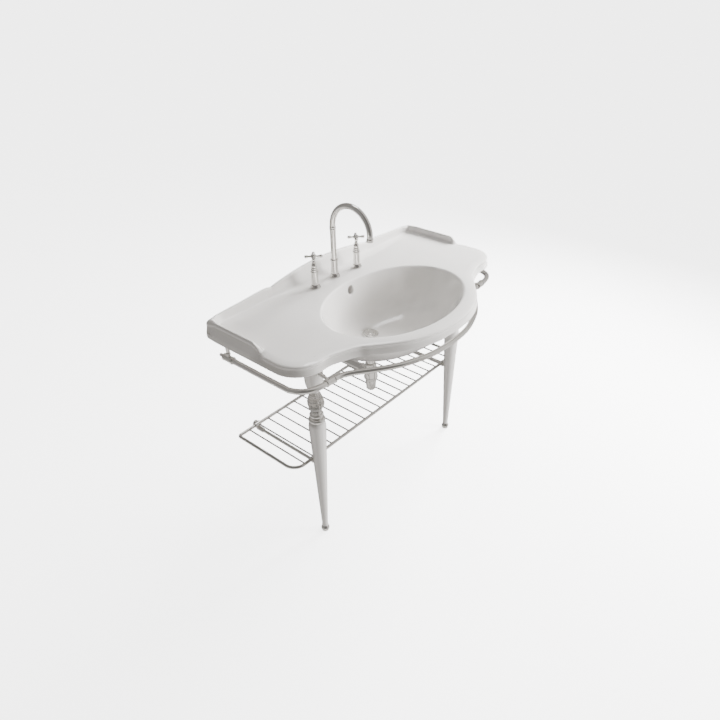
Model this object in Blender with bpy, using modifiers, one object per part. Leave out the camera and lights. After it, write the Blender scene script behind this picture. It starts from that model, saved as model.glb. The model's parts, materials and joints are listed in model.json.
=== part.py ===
"""Console wash basin on two turned front legs, with a towel rail, a wire shelf, a three-hole tap set and a
bottle trap. The back face of the basin lies on the wall plane, where the local y is 0; +Y runs into the wall
and +Z up. Everything is parented to one empty, which puts the origin under the middle of the whole object."""

import math

import bmesh
import bpy
from mathutils import Matrix, Vector

# Overall size, in metres.
HALF_WIDTH = 0.556
DEPTH = 0.625
DECK_Z = 0.840
APRON_Z = 0.803
GAP = 0.0003

# Basin.
BACK_CORNER_R = 0.022
INNER_CORNER_R = 0.008
CORNER_RUN = 0.12
FRONT_CORNER_R = 0.101
MOULDING_START_Y = -0.20
MOULDING_END_Y = -0.36
FLAT_SHARE = 0.1
SIDE_END_Y = -0.343
GALLERY_END_Y = -0.262
GALLERY_H = 0.025
GALLERY_ROUND = 0.037
GALLERY_LEAN = 0.013
COVE_HALF = 0.280
COVE_DEPTH = 0.028
BOWL_Y = -0.360
BOWL_A = 0.297
BOWL_B = 0.2125
BOWL_WALL = 0.012
FLOOR_Z = 0.652
FLOOR_R = 0.036
WASTE_HOLE_R = 0.0235
POCKET_HALF = 0.36
POCKET_BACK_Y = -0.022
POCKET_FRONT_Y = -0.114
POCKET_TOP_Z = 0.822
BOLT_X = 0.30
BOLT_Z = 0.8125
OVERFLOW_Z = 0.806
OVERFLOW_HALF_WIDTH = 0.0160
OVERFLOW_HALF_HEIGHT = 0.0165
OVERFLOW_BACK_Y = -0.120

# Taps and waste.
TAP_X = 0.1137
TAP_Y = -0.085
SPOUT_Y = -0.076
DECK_HOLE_R = 0.0145
SHANK_R = 0.0125
SHANK_Z = 0.765
SPOUT_R = 0.0105
SPOUT_ARCH_R = 0.0875
SPOUT_ARCH_Z = 1.0365
SPOUT_TURN = math.radians(184)
AERATOR_LENGTH = 0.012
DRAIN_Y = -0.245
OUTLET_Z = 0.4805

# Legs.
LEG_X = 0.405
LEG_Y = -0.349

# Towel rail.
RAIL_X = 0.5425
RAIL_Z = 0.7530
RAIL_R = 0.0095
RAIL_END_Y = -0.078
POST_Y = -0.101
FRONT_BRACKET_X = 0.427
FRONT_BRACKET_Y = -0.4466
ARM_ROOT_Z = 0.7455

# Shelf.
SHELF_Z = 0.350
SHELF_HALF = 0.497
SHELF_BACK_Y = -0.014
SHELF_FRONT_Y = -0.316
SHELF_CORNER_R = 0.045
FRAME_R = 0.006
WIRE_R = 0.0024
WIRE_PITCH = 0.0471
WIRES = 20
ARM_R = 0.006
ARM_Z = 0.3355
ARM_BACK_Y = -0.022
ARM_FRONT_Y = -0.3242

SIDES = (("left", -1), ("right", 1))


def clear_scene():
    for old in list(bpy.data.objects):
        bpy.data.objects.remove(old)


def new_collection(name):
    group = bpy.data.collections.new(name)
    bpy.context.scene.collection.children.link(group)
    return group


clear_scene()
PARTS = new_collection("console_basin")
CUTTERS = new_collection("cutters")
CUTTERS.hide_render = True
WALL = bpy.data.objects.new("wall_origin", None)
WALL.location = (0, DEPTH / 2, 0)
PARTS.objects.link(WALL)


# Materials.


def material(name, colour, roughness, metallic=0.0):
    made = bpy.data.materials.new(name)
    made.use_nodes = True
    shader = made.node_tree.nodes["Principled BSDF"]
    shader.inputs["Base Color"].default_value = (*colour, 1)
    shader.inputs["Roughness"].default_value = roughness
    shader.inputs["Metallic"].default_value = metallic
    return made


def ceramic(name):
    return material(name + "_ceramic", (0.86, 0.85, 0.83), 0.12)


def nickel(name):
    return material(name + "_nickel", (0.62, 0.60, 0.57), 0.12, 1.0)


def brass(name):
    return material(name + "_brass", (0.66, 0.52, 0.28), 0.35, 1.0)


def rubber(name):
    return material(name + "_rubber", (0.05, 0.05, 0.05), 0.8)


# Shared shapes.


def add_object(name, data, finish, location=(0, 0, 0), rotation=(0, 0, 0)):
    made = bpy.data.objects.new(name, data)
    made.parent = WALL
    made.location = location
    made.rotation_euler = rotation
    data.materials.clear()
    data.materials.append(finish(name))
    PARTS.objects.link(made)
    return made


def turned(name, profile, finish, location=(0, 0, 0), rotation=(0, 0, 0), closed=False, steps=12):
    """A turned solid. The profile is (radius, height) pairs down the outer side, from the top. An open profile
    starts and ends on the axis; a closed one goes back up the bore."""
    mesh = bpy.data.meshes.new(name)
    shape = bmesh.new()
    points = [shape.verts.new((r, 0, z)) for r, z in profile]
    for a, b in zip(points, points[1:]):
        shape.edges.new((a, b))
    if closed:
        shape.edges.new((points[-1], points[0]))
    shape.to_mesh(mesh)
    shape.free()
    made = add_object(name, mesh, finish, location, rotation)
    screw = made.modifiers.new("turn", "SCREW")
    screw.steps = steps
    screw.render_steps = steps
    screw.use_merge_vertices = True
    screw.merge_threshold = 0.00001
    screw.use_smooth_shade = True
    return made


def smooth(start, points, per_span):
    """Points of a Catmull-Rom curve through the given ones, with its ends held."""
    chain = [start] + list(points)
    ends = [chain[0], *chain, chain[-1]]
    found = []
    for a, b, c, d in zip(ends, ends[1:], ends[2:], ends[3:]):
        for step in range(per_span):
            t = step / per_span
            found.append(
                tuple(
                    q + 0.5 * ((r - p) * t + (2 * p - 5 * q + 4 * r - s) * t**2 + (3 * q - p - 3 * r + s) * t**3)
                    for p, q, r, s in zip(a, b, c, d)
                )
            )
    return found + [chain[-1]]


def tube_curve(name, points, radius, cyclic=False):
    curve = bpy.data.curves.new(name, "CURVE")
    curve.dimensions = "3D"
    curve.bevel_depth = radius
    curve.bevel_resolution = 2
    curve.use_fill_caps = True
    spline = curve.splines.new("POLY")
    spline.points.add(len(points) - 1)
    for slot, point in zip(spline.points, points):
        slot.co = (*point, 1)
    spline.use_cyclic_u = cyclic
    return curve


def tube(name, points, radius, finish):
    return add_object(name, tube_curve(name, points, radius), finish)


def as_mesh(curve, name):
    """The closed mesh of a curve, in place of the curve object."""
    holder = bpy.data.objects.new(name + "_curve", curve)
    CUTTERS.objects.link(holder)
    bpy.context.view_layer.update()
    evaluated = holder.evaluated_get(bpy.context.evaluated_depsgraph_get())
    mesh = bpy.data.meshes.new_from_object(evaluated)
    bpy.data.objects.remove(holder)
    shape = bmesh.new()
    shape.from_mesh(mesh)
    bmesh.ops.remove_doubles(shape, verts=shape.verts, dist=0.00001)
    bmesh.ops.recalc_face_normals(shape, faces=shape.faces)
    shape.to_mesh(mesh)
    shape.free()
    return mesh


def rod_mesh(start, end, radius, end_radius=None, sides=12):
    start, end = Vector(start), Vector(end)
    mesh = bpy.data.meshes.new("rod")
    shape = bmesh.new()
    turn = (end - start).to_track_quat("Z", "Y").to_matrix().to_4x4()
    bmesh.ops.create_cone(
        shape,
        cap_ends=True,
        segments=sides,
        radius1=radius,
        radius2=radius if end_radius is None else end_radius,
        depth=(end - start).length,
        matrix=Matrix.Translation((start + end) / 2) @ turn,
    )
    shape.to_mesh(mesh)
    shape.free()
    return mesh


def ball_mesh(centre, radius, sides=8, rings=5):
    mesh = bpy.data.meshes.new("ball")
    shape = bmesh.new()
    place = Matrix.Translation(centre)
    bmesh.ops.create_uvsphere(shape, u_segments=sides, v_segments=rings, radius=radius, matrix=place)
    shape.to_mesh(mesh)
    shape.free()
    return mesh


def box_mesh(low, high):
    low, high = Vector(low), Vector(high)
    mesh = bpy.data.meshes.new("box")
    shape = bmesh.new()
    place = Matrix.Translation((low + high) / 2) @ Matrix.Diagonal((*(high - low), 1))
    bmesh.ops.create_cube(shape, size=1, matrix=place)
    shape.to_mesh(mesh)
    shape.free()
    return mesh


def combine(target, operation, mesh, location=(0, 0, 0)):
    """Joins a mesh to the target or cuts it out, with a hidden helper in the target's own frame."""
    helper = bpy.data.objects.new(target.name + "_" + operation.lower(), mesh)
    helper.parent = WALL
    helper.location = location
    helper.hide_render = True
    helper.display_type = "WIRE"
    CUTTERS.objects.link(helper)
    step = target.modifiers.new(operation.lower(), "BOOLEAN")
    step.operation = operation
    step.solver = "EXACT"
    step.object = helper
    return target


# The basin.


def crest_height(x):
    """Height of the upstand's top above the deck, at a distance x from the middle of the wall side."""
    stations = ((0, 0.062), (0.10, 0.058), (0.15, 0.053), (0.20, 0.045), (0.26, 0.032), (0.30, 0.038), (0.56, 0.022))
    for (x0, h0), (x1, h1) in zip(stations, stations[1:]):
        if x <= x1:
            return h0 + (h1 - h0) * (x - x0) / (x1 - x0)
    return GALLERY_H


def side_height(y):
    """Height of the side gallery: level, then rounded down to the deck at its front end."""
    past = (GALLERY_END_Y + GALLERY_ROUND - y) / GALLERY_ROUND
    if past <= 0:
        return GALLERY_H
    return GALLERY_H * (1 - min(past, 1.0) ** 1.7)


def moulding_share(y):
    """How deep the apron's moulding is cut: full round the front, nearly flat under the galleries."""
    along = min(max((MOULDING_START_Y - y) / (MOULDING_START_Y - MOULDING_END_Y), 0.0), 1.0)
    return FLAT_SHARE + (1 - FLAT_SHARE) * along * along * (3 - 2 * along)


def arc(centre, radius, start_deg, end_deg, steps):
    turns = [math.radians(start_deg + (end_deg - start_deg) * i / steps) for i in range(1, steps + 1)]
    return [(centre[0] + radius * math.cos(a), centre[1] + radius * math.sin(a)) for a in turns]


def half_outline():
    """The right half of the basin's plan, from the middle of the wall side round to the middle of the front."""
    flat = HALF_WIDTH - BACK_CORNER_R
    points = [(x, 0.0) for x in (0, 0.05, 0.10, 0.15, 0.20, 0.24, 0.26, 0.28, 0.30, 0.42, flat)]
    points += arc((flat, -BACK_CORNER_R), BACK_CORNER_R, 90, 0, 3)
    side_stations = (-0.12, -0.215, -0.226, -0.236, -0.246, -0.255, GALLERY_END_Y, -0.30, SIDE_END_Y)
    points += [(HALF_WIDTH, y) for y in side_stations]
    corner = (HALF_WIDTH - FRONT_CORNER_R, SIDE_END_Y)
    points += arc(corner, FRONT_CORNER_R, 0, -90, 5)
    front = ((0.41, -0.4465), (0.33, -0.476), (0.2925, -0.5055), (0.195, -0.579), (0.0975, -0.616), (0, -DEPTH))
    points += smooth(points[-1], front, 2)[1:]
    return points


def outline():
    """The whole plan, anticlockwise seen from below, as (x, y, outward x, outward y)."""
    right = half_outline()
    loop = right + [(-x, y) for x, y in reversed(right[1:-1])]
    found = []
    for i, (x, y) in enumerate(loop):
        before, after = loop[i - 1], loop[(i + 1) % len(loop)]
        along = Vector((after[0] - before[0], after[1] - before[1])).normalized()
        found.append((x, y, -along.y, along.x))
    return found


def bowl_ring(angle, depth_share, spread=0.0):
    """A point of the bowl's wall. Each level is the rim's ellipse, drawn in towards the drain."""
    reach = BOWL_A * BOWL_B / math.hypot(BOWL_B * math.cos(angle), BOWL_A * math.sin(angle))
    rim = Vector((reach * math.cos(angle), BOWL_Y - DRAIN_Y + reach * math.sin(angle)))
    keep = (1 - 0.3 * depth_share) * math.sqrt(1 - depth_share**5)
    point = rim * keep
    point += point.normalized() * spread * math.cos(depth_share * math.pi / 2)
    drop = depth_share * (DECK_Z - FLOOR_Z) + spread * math.sin(depth_share * math.pi / 2)
    return (point.x, DRAIN_Y + point.y, DECK_Z - drop)


def drain_ring(angle, radius, z):
    return (radius * math.cos(angle), DRAIN_Y + radius * math.sin(angle), z)


def moved_in(x, y, nx, ny, side_inset, wall_inset):
    """A point of the plan, moved in from the basin's edge. The two rear corners tighten as they go in."""
    flat = HALF_WIDTH - BACK_CORNER_R
    radius = max(BACK_CORNER_R - max(side_inset, wall_inset), INNER_CORNER_R)
    corner_x = HALF_WIDTH - side_inset - radius
    corner_y = -wall_inset - radius
    side = math.copysign(1, x)
    if abs(x) > flat and y > -BACK_CORNER_R:
        turn_x = (abs(x) - flat) / BACK_CORNER_R
        turn_y = (y + BACK_CORNER_R) / BACK_CORNER_R
        return side * (corner_x + radius * turn_x), corner_y + radius * turn_y
    if y >= 0:
        past = max(0.0, abs(x) - COVE_HALF) / (flat - COVE_HALF)
        return side * (min(abs(x), COVE_HALF) + past * (corner_x - COVE_HALF)), -wall_inset
    if y > -CORNER_RUN:
        past = (y + CORNER_RUN) / (CORNER_RUN - BACK_CORNER_R)
        return side * (HALF_WIDTH - side_inset), past * (corner_y + CORNER_RUN) - CORNER_RUN
    return x - nx * side_inset, y - ny * side_inset


def basin_section(x, y, nx, ny):
    """One closed section: up the apron, over the gallery or upstand, across the deck, down the bowl to the
    waste hole, and back along the underside."""
    back = max(ny, 0.0)
    height = side_height(y) * (1 - back) + crest_height(abs(x)) * back
    moulding = moulding_share(y)
    cove = COVE_DEPTH * math.cos(math.pi * x / (2 * COVE_HALF)) if y >= 0 and abs(x) < COVE_HALF else 0.0
    lean = GALLERY_LEAN * side_height(y) / GALLERY_H

    def level(inset, z, leaning, from_wall=0.0):
        plan = moved_in(x, y, nx, ny, inset + leaning * lean, from_wall)
        return (*plan, z)

    outer = [
        level(0.0045 * moulding, APRON_Z, 0.0),
        level(0.0, APRON_Z + 0.004, 0.07),
        level(0.0078 * moulding, APRON_Z + 0.0175, 0.28),
        level(0.0036 * moulding, DECK_Z - 0.0085 + height, 1.0),
        level(0.0040, DECK_Z - 0.002 + height, 1.0, 0.0025),
        level(0.0090, DECK_Z + height, 1.0, 0.0080 + 0.1 * cove),
        level(0.0135, DECK_Z + 0.85 * height, 1.0, 0.0135 + 0.25 * cove),
        level(0.0165, DECK_Z + 0.2 * height, 1.0, 0.0165 + 0.5 * cove),
        level(0.0220, DECK_Z, 1.0, 0.0220 + cove),
    ]
    angle = math.atan2(y - BOWL_Y, x)
    rim_x, rim_y, _ = bowl_ring(angle, 0, 0.008)
    inner = [(rim_x, rim_y, DECK_Z), bowl_ring(angle, 0.03)]
    inner += [bowl_ring(angle, share) for share in (0.2, 0.42, 0.64, 0.82, 0.95)]
    inner += [
        drain_ring(angle, FLOOR_R, FLOOR_Z),
        drain_ring(angle, WASTE_HOLE_R, FLOOR_Z),
        drain_ring(angle, WASTE_HOLE_R, FLOOR_Z - 0.016),
        drain_ring(angle, FLOOR_R, FLOOR_Z - 0.016),
    ]
    apron_share = (DECK_Z - APRON_Z) / (DECK_Z - FLOOR_Z)
    under = [bowl_ring(angle, share, wall) for share, wall in ((0.92, BOWL_WALL), (0.75, 0.018), (0.5, 0.026))]
    lip_x, lip_y, _ = bowl_ring(angle, apron_share, 0.030)
    return outer + inner + under + [(lip_x, lip_y, APRON_Z)]


def loft(name, sections):
    """Closed sections, joined one to the next and the last to the first."""
    mesh = bpy.data.meshes.new(name)
    shape = bmesh.new()
    rings = [[shape.verts.new(point) for point in section] for section in sections]
    for ring, following in zip(rings, rings[1:] + rings[:1]):
        for i, vert in enumerate(ring):
            shape.faces.new((vert, ring[i - 1], following[i - 1], following[i]))
    bmesh.ops.recalc_face_normals(shape, faces=shape.faces)
    shape.to_mesh(mesh)
    shape.free()
    return mesh


def build_basin():
    basin = add_object("basin", loft("basin", [basin_section(*place) for place in outline()]), ceramic)
    pocket = box_mesh((-POCKET_HALF, POCKET_FRONT_Y, APRON_Z - 0.02), (POCKET_HALF, POCKET_BACK_Y, POCKET_TOP_Z))
    combine(basin, "DIFFERENCE", pocket)
    for x, y in ((-TAP_X, TAP_Y), (0, SPOUT_Y), (TAP_X, TAP_Y)):
        combine(basin, "DIFFERENCE", rod_mesh((x, y, POCKET_TOP_Z - 0.01), (x, y, DECK_Z + 0.01), DECK_HOLE_R))
    for _, side in SIDES:
        hole = rod_mesh((side * BOLT_X, 0.01, BOLT_Z), (side * BOLT_X, POCKET_BACK_Y - 0.01, BOLT_Z), 0.0055)
        combine(basin, "DIFFERENCE", hole)
    chamber = box_mesh((-0.022, -0.150, OVERFLOW_Z - 0.024), (0.022, OVERFLOW_BACK_Y + 0.003, APRON_Z + 0.003))
    combine(basin, "UNION", chamber)
    hollow = box_mesh((-0.017, -0.1435, OVERFLOW_Z - 0.020), (0.017, OVERFLOW_BACK_Y, DECK_Z - 0.012))
    combine(basin, "DIFFERENCE", hollow)
    oval = rod_mesh((0, -0.175, 0), (0, -0.135, 0), OVERFLOW_HALF_WIDTH, sides=16)
    oval.transform(Matrix.Diagonal((1, 1, OVERFLOW_HALF_HEIGHT / OVERFLOW_HALF_WIDTH, 1)))
    combine(basin, "DIFFERENCE", oval, (0, 0, OVERFLOW_Z))


# Taps.


def deck_flange(name, x, y):
    bore = SHANK_R + GAP
    profile = [(bore, 0.012), (0.0162, 0.012), (0.0178, 0.0065), (0.0200, 0.003), (0.0200, 0), (bore, 0)]
    turned(name, profile, nickel, (x, y, DECK_Z + GAP), closed=True)


def under_deck(prefix, x, y):
    """The rubber washer and the backnut that hold a tap to the deck from below."""
    bore = SHANK_R + GAP
    top = POCKET_TOP_Z - GAP
    ring = [(bore, 0), (0.021, 0), (0.021, -0.003), (bore, -0.003)]
    turned(prefix + "_washer", ring, rubber, (x, y, top), closed=True)
    nut = [(bore, 0), (0.021, 0), (0.021, -0.003), (0.017, -0.004), (0.017, -0.012), (bore, -0.012)]
    turned(prefix + "_backnut", nut, brass, (x, y, top - 0.003 - GAP), closed=True)


def pillar(name, x, y, top):
    """The body of a tap: a pillar on the deck whose threaded shank goes down through it."""
    profile = [(0, top), (0.0125, top), (0.0135, top - 0.002), (0.0135, top - 0.005), (SHANK_R, top - 0.007)]
    profile += [(SHANK_R, SHANK_Z), (0, SHANK_Z)]
    turned(name, profile, nickel, (x, y, 0))


def cross_handle(name, x, y):
    profile = [(0, 0.9680), (0.0075, 0.9675), (0.0105, 0.9640), (0.0105, 0.9565), (0.0065, 0.9525)]
    profile += [(0.0048, 0.9450), (0.0062, 0.9370), (0.0062, 0.9363), (0.0043, 0.9363), (0.0043, 0.9525), (0, 0.9525)]
    handle = turned(name, profile, nickel, (x, y, 0))
    arm_z, reach = 0.9602, 0.0275
    for quarter in range(4):
        turn = math.radians(45 + 90 * quarter)
        way = Vector((math.cos(turn), math.sin(turn), 0))
        centre = Vector((0, 0, arm_z))
        arm = rod_mesh(centre + way * 0.0075, centre + way * reach, 0.0036, 0.0028, sides=6)
        combine(handle, "UNION", arm, (x, y, 0))
        combine(handle, "UNION", ball_mesh(centre + way * reach, 0.0048), (x, y, 0))


def build_tap(side_name, side):
    prefix = side_name + "_tap"
    x = side * TAP_X
    deck_flange(prefix + "_flange", x, TAP_Y)
    pillar(prefix + "_valve", x, TAP_Y, 0.905)
    under_deck(prefix, x, TAP_Y)
    bell = [(0.0045, 0.9360), (0.0065, 0.9355), (0.0090, 0.9300), (0.0092, 0.9200), (0.0105, 0.9130)]
    bell += [(0.0122, 0.9110), (0.0122, 0.9053), (0.0045, 0.9053)]
    turned(prefix + "_bonnet", bell, nickel, (x, TAP_Y, 0), closed=True)
    stem = [(0, 0.9520), (0.0040, 0.9520), (0.0040, 0.9060), (0, 0.9060)]
    turned(prefix + "_spindle", stem, brass, (x, TAP_Y, 0))
    cross_handle(prefix + "_handle", x, TAP_Y)
    button = [(0, 0.9732), (0.0035, 0.9727), (0.0060, 0.9705), (0.0065, 0.9683), (0, 0.9683)]
    turned(prefix + "_cap", button, ceramic, (x, TAP_Y, 0))


def build_spout():
    deck_flange("spout_flange", 0, SPOUT_Y)
    pillar("spout_body", 0, SPOUT_Y, 0.909)
    under_deck("spout", 0, SPOUT_Y)
    arch_y = -SPOUT_ARCH_R
    route = [(0, 0, 0.909 + GAP), (0, 0, 0.97)]
    for i in range(17):
        turn = SPOUT_TURN * i / 16
        route.append((0, arch_y + SPOUT_ARCH_R * math.cos(turn), SPOUT_ARCH_Z + SPOUT_ARCH_R * math.sin(turn)))
    pipe = tube("spout_tube", route, SPOUT_R, nickel)
    pipe.location = (0, SPOUT_Y, 0)
    band = [(0.0112, 0.006), (0.0119, 0.0055), (0.0123, 0.003), (0.0123, -0.003), (0.0119, -0.0055), (0.0112, -0.006)]
    turned("spout_ring", band, nickel, (0, SPOUT_Y, 1.028), closed=True)
    down = (Vector(route[-1]) - Vector(route[-2])).normalized()
    mouth = Vector((0, SPOUT_Y, 0)) + Vector(route[-1]) + down * GAP
    nozzle = [(0.0085, 0), (0.0110, 0), (0.0122, -0.002), (0.0122, -AERATOR_LENGTH), (0.0085, -AERATOR_LENGTH)]
    tilt = math.atan2(down.y, -down.z)
    turned("spout_aerator", nozzle, nickel, mouth, (tilt, 0, 0), closed=True)


# Waste and trap.


def build_waste():
    place = (0, DRAIN_Y, 0)
    seat = [(0.0235, 0.6565), (0.0290, 0.6565), (0.0320, 0.6545), (0.0320, 0.6523), (0.0226, 0.6523)]
    seat += [(0.0226, 0.5720), (0.0185, 0.5720), (0.0185, 0.6535), (0.0235, 0.6535)]
    flange = turned("waste_flange", seat, nickel, place, closed=True)
    for half_x, half_y in ((0.0205, 0.002), (0.002, 0.0205)):
        bar = box_mesh((-half_x, -half_y, 0.600), (half_x, half_y, 0.606))
        combine(flange, "UNION", bar, place)
    combine(flange, "UNION", rod_mesh((0, 0, 0.5985), (0, 0, 0.6075), 0.009), place)
    combine(flange, "DIFFERENCE", rod_mesh((0, 0, 0.590), (0, 0, 0.615), 0.0053, sides=12), place)
    head = [(0, 0.6595), (0.0120, 0.6590), (0.0210, 0.6575), (0.0228, 0.6560), (0.0228, 0.6538), (0.0050, 0.6538)]
    head += [(0.0050, 0.5850), (0, 0.5850)]
    turned("waste_plug", head, nickel, place)
    ring = [(0.0230, 0.6357), (0.0340, 0.6357), (0.0340, 0.6327), (0.0230, 0.6327)]
    turned("waste_gasket", ring, rubber, place, closed=True)
    nut = [(0.0230, 0.6324), (0.0340, 0.6324), (0.0340, 0.6290), (0.0290, 0.6280), (0.0290, 0.6187), (0.0230, 0.6187)]
    turned("waste_backnut", nut, brass, place, closed=True)
    tail = [(0.0135, 0.5717), (0.0225, 0.5717), (0.0225, 0.5580), (0.0160, 0.5560), (0.0160, 0.4750), (0.0135, 0.4750)]
    turned("tailpiece", tail, nickel, place, closed=True)


def build_trap():
    place = (0, DRAIN_Y, 0)
    nut = [(0.0163, 0.5220), (0.0200, 0.5220), (0.0225, 0.5190), (0.0225, 0.5000), (0.0163, 0.5000)]
    turned("trap_inlet_nut", nut, nickel, place, closed=True)
    shell = [(0.0185, 0.4997), (0.0265, 0.4997), (0.0275, 0.4980), (0.0275, 0.4560), (0.0265, 0.4535), (0.0185, 0.4535)]
    body = turned("trap_body", shell, nickel, place, closed=True)
    combine(body, "UNION", rod_mesh((0, 0.022, OUTLET_Z), (0, 0.048, OUTLET_Z), 0.0190), place)
    combine(body, "DIFFERENCE", rod_mesh((0, 0.010, OUTLET_Z), (0, 0.060, OUTLET_Z), 0.0165), place)
    cup = [(0, 0.4020), (0.0130, 0.4030), (0.0165, 0.4100), (0.0200, 0.4480), (0.0200, 0.4532)]
    cup += [(0.0235, 0.4532), (0.0235, 0.4480), (0.0225, 0.4470), (0.0195, 0.4080), (0.0150, 0.3990), (0, 0.3975)]
    turned("trap_cup", cup, nickel, place)
    pipe = [(0.0135, 0), (0.0160, 0), (0.0160, -0.2140), (0.0135, -0.2140)]
    turned("trap_outlet_pipe", pipe, nickel, (0, 0, OUTLET_Z), (-math.pi / 2, 0, 0), closed=True)
    plate = [(0.0163, 0), (0.0350, 0), (0.0350, -0.0015), (0.0280, -0.0060), (0.0163, -0.0100)]
    turned("wall_escutcheon", plate, nickel, (0, 0, OUTLET_Z), (-math.pi / 2, 0, 0), closed=True)


# Legs.


def build_leg(side_name, side):
    prefix = side_name + "_leg"
    place = (side * LEG_X, LEG_Y, 0)
    foot = [(0, 0.0265), (0.0100, 0.0265), (0.0145, 0.0210), (0.0160, 0.0120), (0.0135, 0.0020), (0.0120, 0), (0, 0)]
    turned(prefix + "_foot", foot, nickel, place, steps=16)
    shaft = [(0, 0.5335), (0.0240, 0.5335), (0.0288, 0.5300), (0.0308, 0.5180), (0.0115, 0.0320), (0.0130, 0.0268)]
    turned(prefix + "_shaft", shaft + [(0, 0.0268)], ceramic, place, steps=16)
    collar = [(0, 0.5775), (0.0170, 0.5775), (0.0190, 0.5735), (0.0250, 0.5680), (0.0250, 0.5590), (0.0215, 0.5550)]
    collar += [(0.0265, 0.5510), (0.0292, 0.5455), (0.0292, 0.5415), (0.0255, 0.5338), (0, 0.5338)]
    turned(prefix + "_collar", collar, nickel, place, steps=16)
    vase = [(0, 0.6597), (0.0150, 0.6597), (0.0195, 0.6470), (0.0268, 0.6275), (0.0295, 0.6105), (0.0275, 0.5960)]
    vase += [(0.0200, 0.5830), (0.0175, 0.5778), (0, 0.5778)]
    turned(prefix + "_vase", vase, nickel, place, steps=16)
    top = APRON_Z - GAP
    capital = [(0, top), (0.0340, top), (0.0325, 0.7500), (0.0310, 0.7050), (0.0290, 0.6900), (0.0250, 0.6770)]
    capital += [(0.0185, 0.6650), (0.0165, 0.6600), (0, 0.6600)]
    turned(prefix + "_capital", capital, ceramic, place, steps=16)


# Towel rail.


def rail_route(first_y):
    """The rail's centre line, from one rear end round the front to the other."""
    start = (RAIL_X, first_y, RAIL_Z)
    plan = ((RAIL_X, -0.343), (0.5385, -0.3910), (0.5140, -0.4270), (0.4700, -0.4440), (0.4200, -0.4470))
    plan += ((0.3850, -0.4515), (0.3500, -0.4695), (0.3000, -0.5070), (0.2500, -0.5410), (0.1950, -0.5690))
    plan += ((0.1000, -0.5990), (0, -0.6070))
    right = smooth(start, [(x, y, RAIL_Z) for x, y in plan], 2)
    return right + [(-x, y, z) for x, y, z in reversed(right[:-1])]


def rail_bore():
    """The space that the brackets leave for the rail."""
    return as_mesh(tube_curve("rail_bore", rail_route(RAIL_END_Y + GAP), RAIL_R + GAP), "rail_bore")


def build_rear_bracket(side_name, side):
    x = side * RAIL_X
    profile = [(0, 0.0250), (0.0095, 0.0250), (0.0122, 0.0220), (0.0122, -0.0170), (0.0132, -0.0190)]
    profile += [(0.0132, -0.0240), (0.0122, -0.0260), (0, -0.0260)]
    # The sleeve lies along the rail, its closed end towards the wall.
    sleeve = turned(side_name + "_rear_bracket", profile, nickel, (x, -0.097, RAIL_Z), (-math.pi / 2, 0, 0))
    top = APRON_Z - GAP
    combine(sleeve, "UNION", rod_mesh((x, POST_Y, RAIL_Z + 0.002), (x, POST_Y, top - 0.002), 0.0068, sides=12))
    combine(sleeve, "UNION", rod_mesh((x, POST_Y, top - 0.004), (x, POST_Y, top), 0.0090, sides=12))
    combine(sleeve, "UNION", rod_mesh((x, -0.078, RAIL_Z), (x, -0.060, RAIL_Z), 0.0032, sides=8))
    combine(sleeve, "UNION", ball_mesh((x, -0.059, RAIL_Z), 0.0060))
    combine(sleeve, "DIFFERENCE", rail_bore())


def build_front_bracket(side_name, side):
    """A sleeve on the rail, held by a beaded arm that stands out from the leg's capital."""
    centre = Vector((side * FRONT_BRACKET_X, FRONT_BRACKET_Y, RAIL_Z + 0.0001))
    along = Vector((0.035, side * 0.0026, 0)).normalized()
    profile = [(0, 0.0190), (0.0122, 0.0190), (0.0132, 0.0175), (0.0132, 0.0145), (0.0122, 0.0125)]
    profile += [(r, -z) for r, z in reversed(profile)]
    turn = math.atan2(along.y, along.x)
    sleeve = turned(side_name + "_front_bracket", profile, nickel, centre, (0, math.pi / 2, turn))
    leg = Vector((side * LEG_X, LEG_Y, ARM_ROOT_Z))
    reach = centre - leg
    root = leg + reach * 0.30
    combine(sleeve, "UNION", rod_mesh(root, leg + reach * 0.95, 0.0042, sides=12))
    combine(sleeve, "UNION", rod_mesh(root, leg + reach * 0.38, 0.0088, 0.0070, sides=12))
    combine(sleeve, "UNION", ball_mesh(leg + reach * 0.44, 0.0074))
    combine(sleeve, "UNION", ball_mesh(leg + reach * 0.64, 0.0058))
    column = rod_mesh(leg + Vector((0, 0, -0.04)), leg + Vector((0, 0, 0.04)), 0.0335, sides=32)
    combine(sleeve, "DIFFERENCE", column)
    combine(sleeve, "DIFFERENCE", rail_bore())


# Shelf.


def build_rack():
    corner_x = SHELF_HALF - SHELF_CORNER_R
    corner_y = SHELF_FRONT_Y + SHELF_CORNER_R
    plan = [(-SHELF_HALF, SHELF_BACK_Y), (SHELF_HALF, SHELF_BACK_Y), (SHELF_HALF, corner_y)]
    plan += arc((corner_x, corner_y), SHELF_CORNER_R, 0, -90, 4)
    plan += [(-corner_x, SHELF_FRONT_Y)]
    plan += arc((-corner_x, corner_y), SHELF_CORNER_R, -90, -180, 4)
    frame = as_mesh(tube_curve("frame", [(x, y, SHELF_Z) for x, y in plan], FRAME_R, cyclic=True), "frame")
    rack = add_object("shelf_rack", frame, nickel)
    for i in range(WIRES):
        x = (i - (WIRES - 1) / 2) * WIRE_PITCH
        wire = rod_mesh((x, SHELF_BACK_Y, SHELF_Z), (x, SHELF_FRONT_Y, SHELF_Z), WIRE_R, sides=6)
        combine(rack, "UNION", wire)


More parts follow.
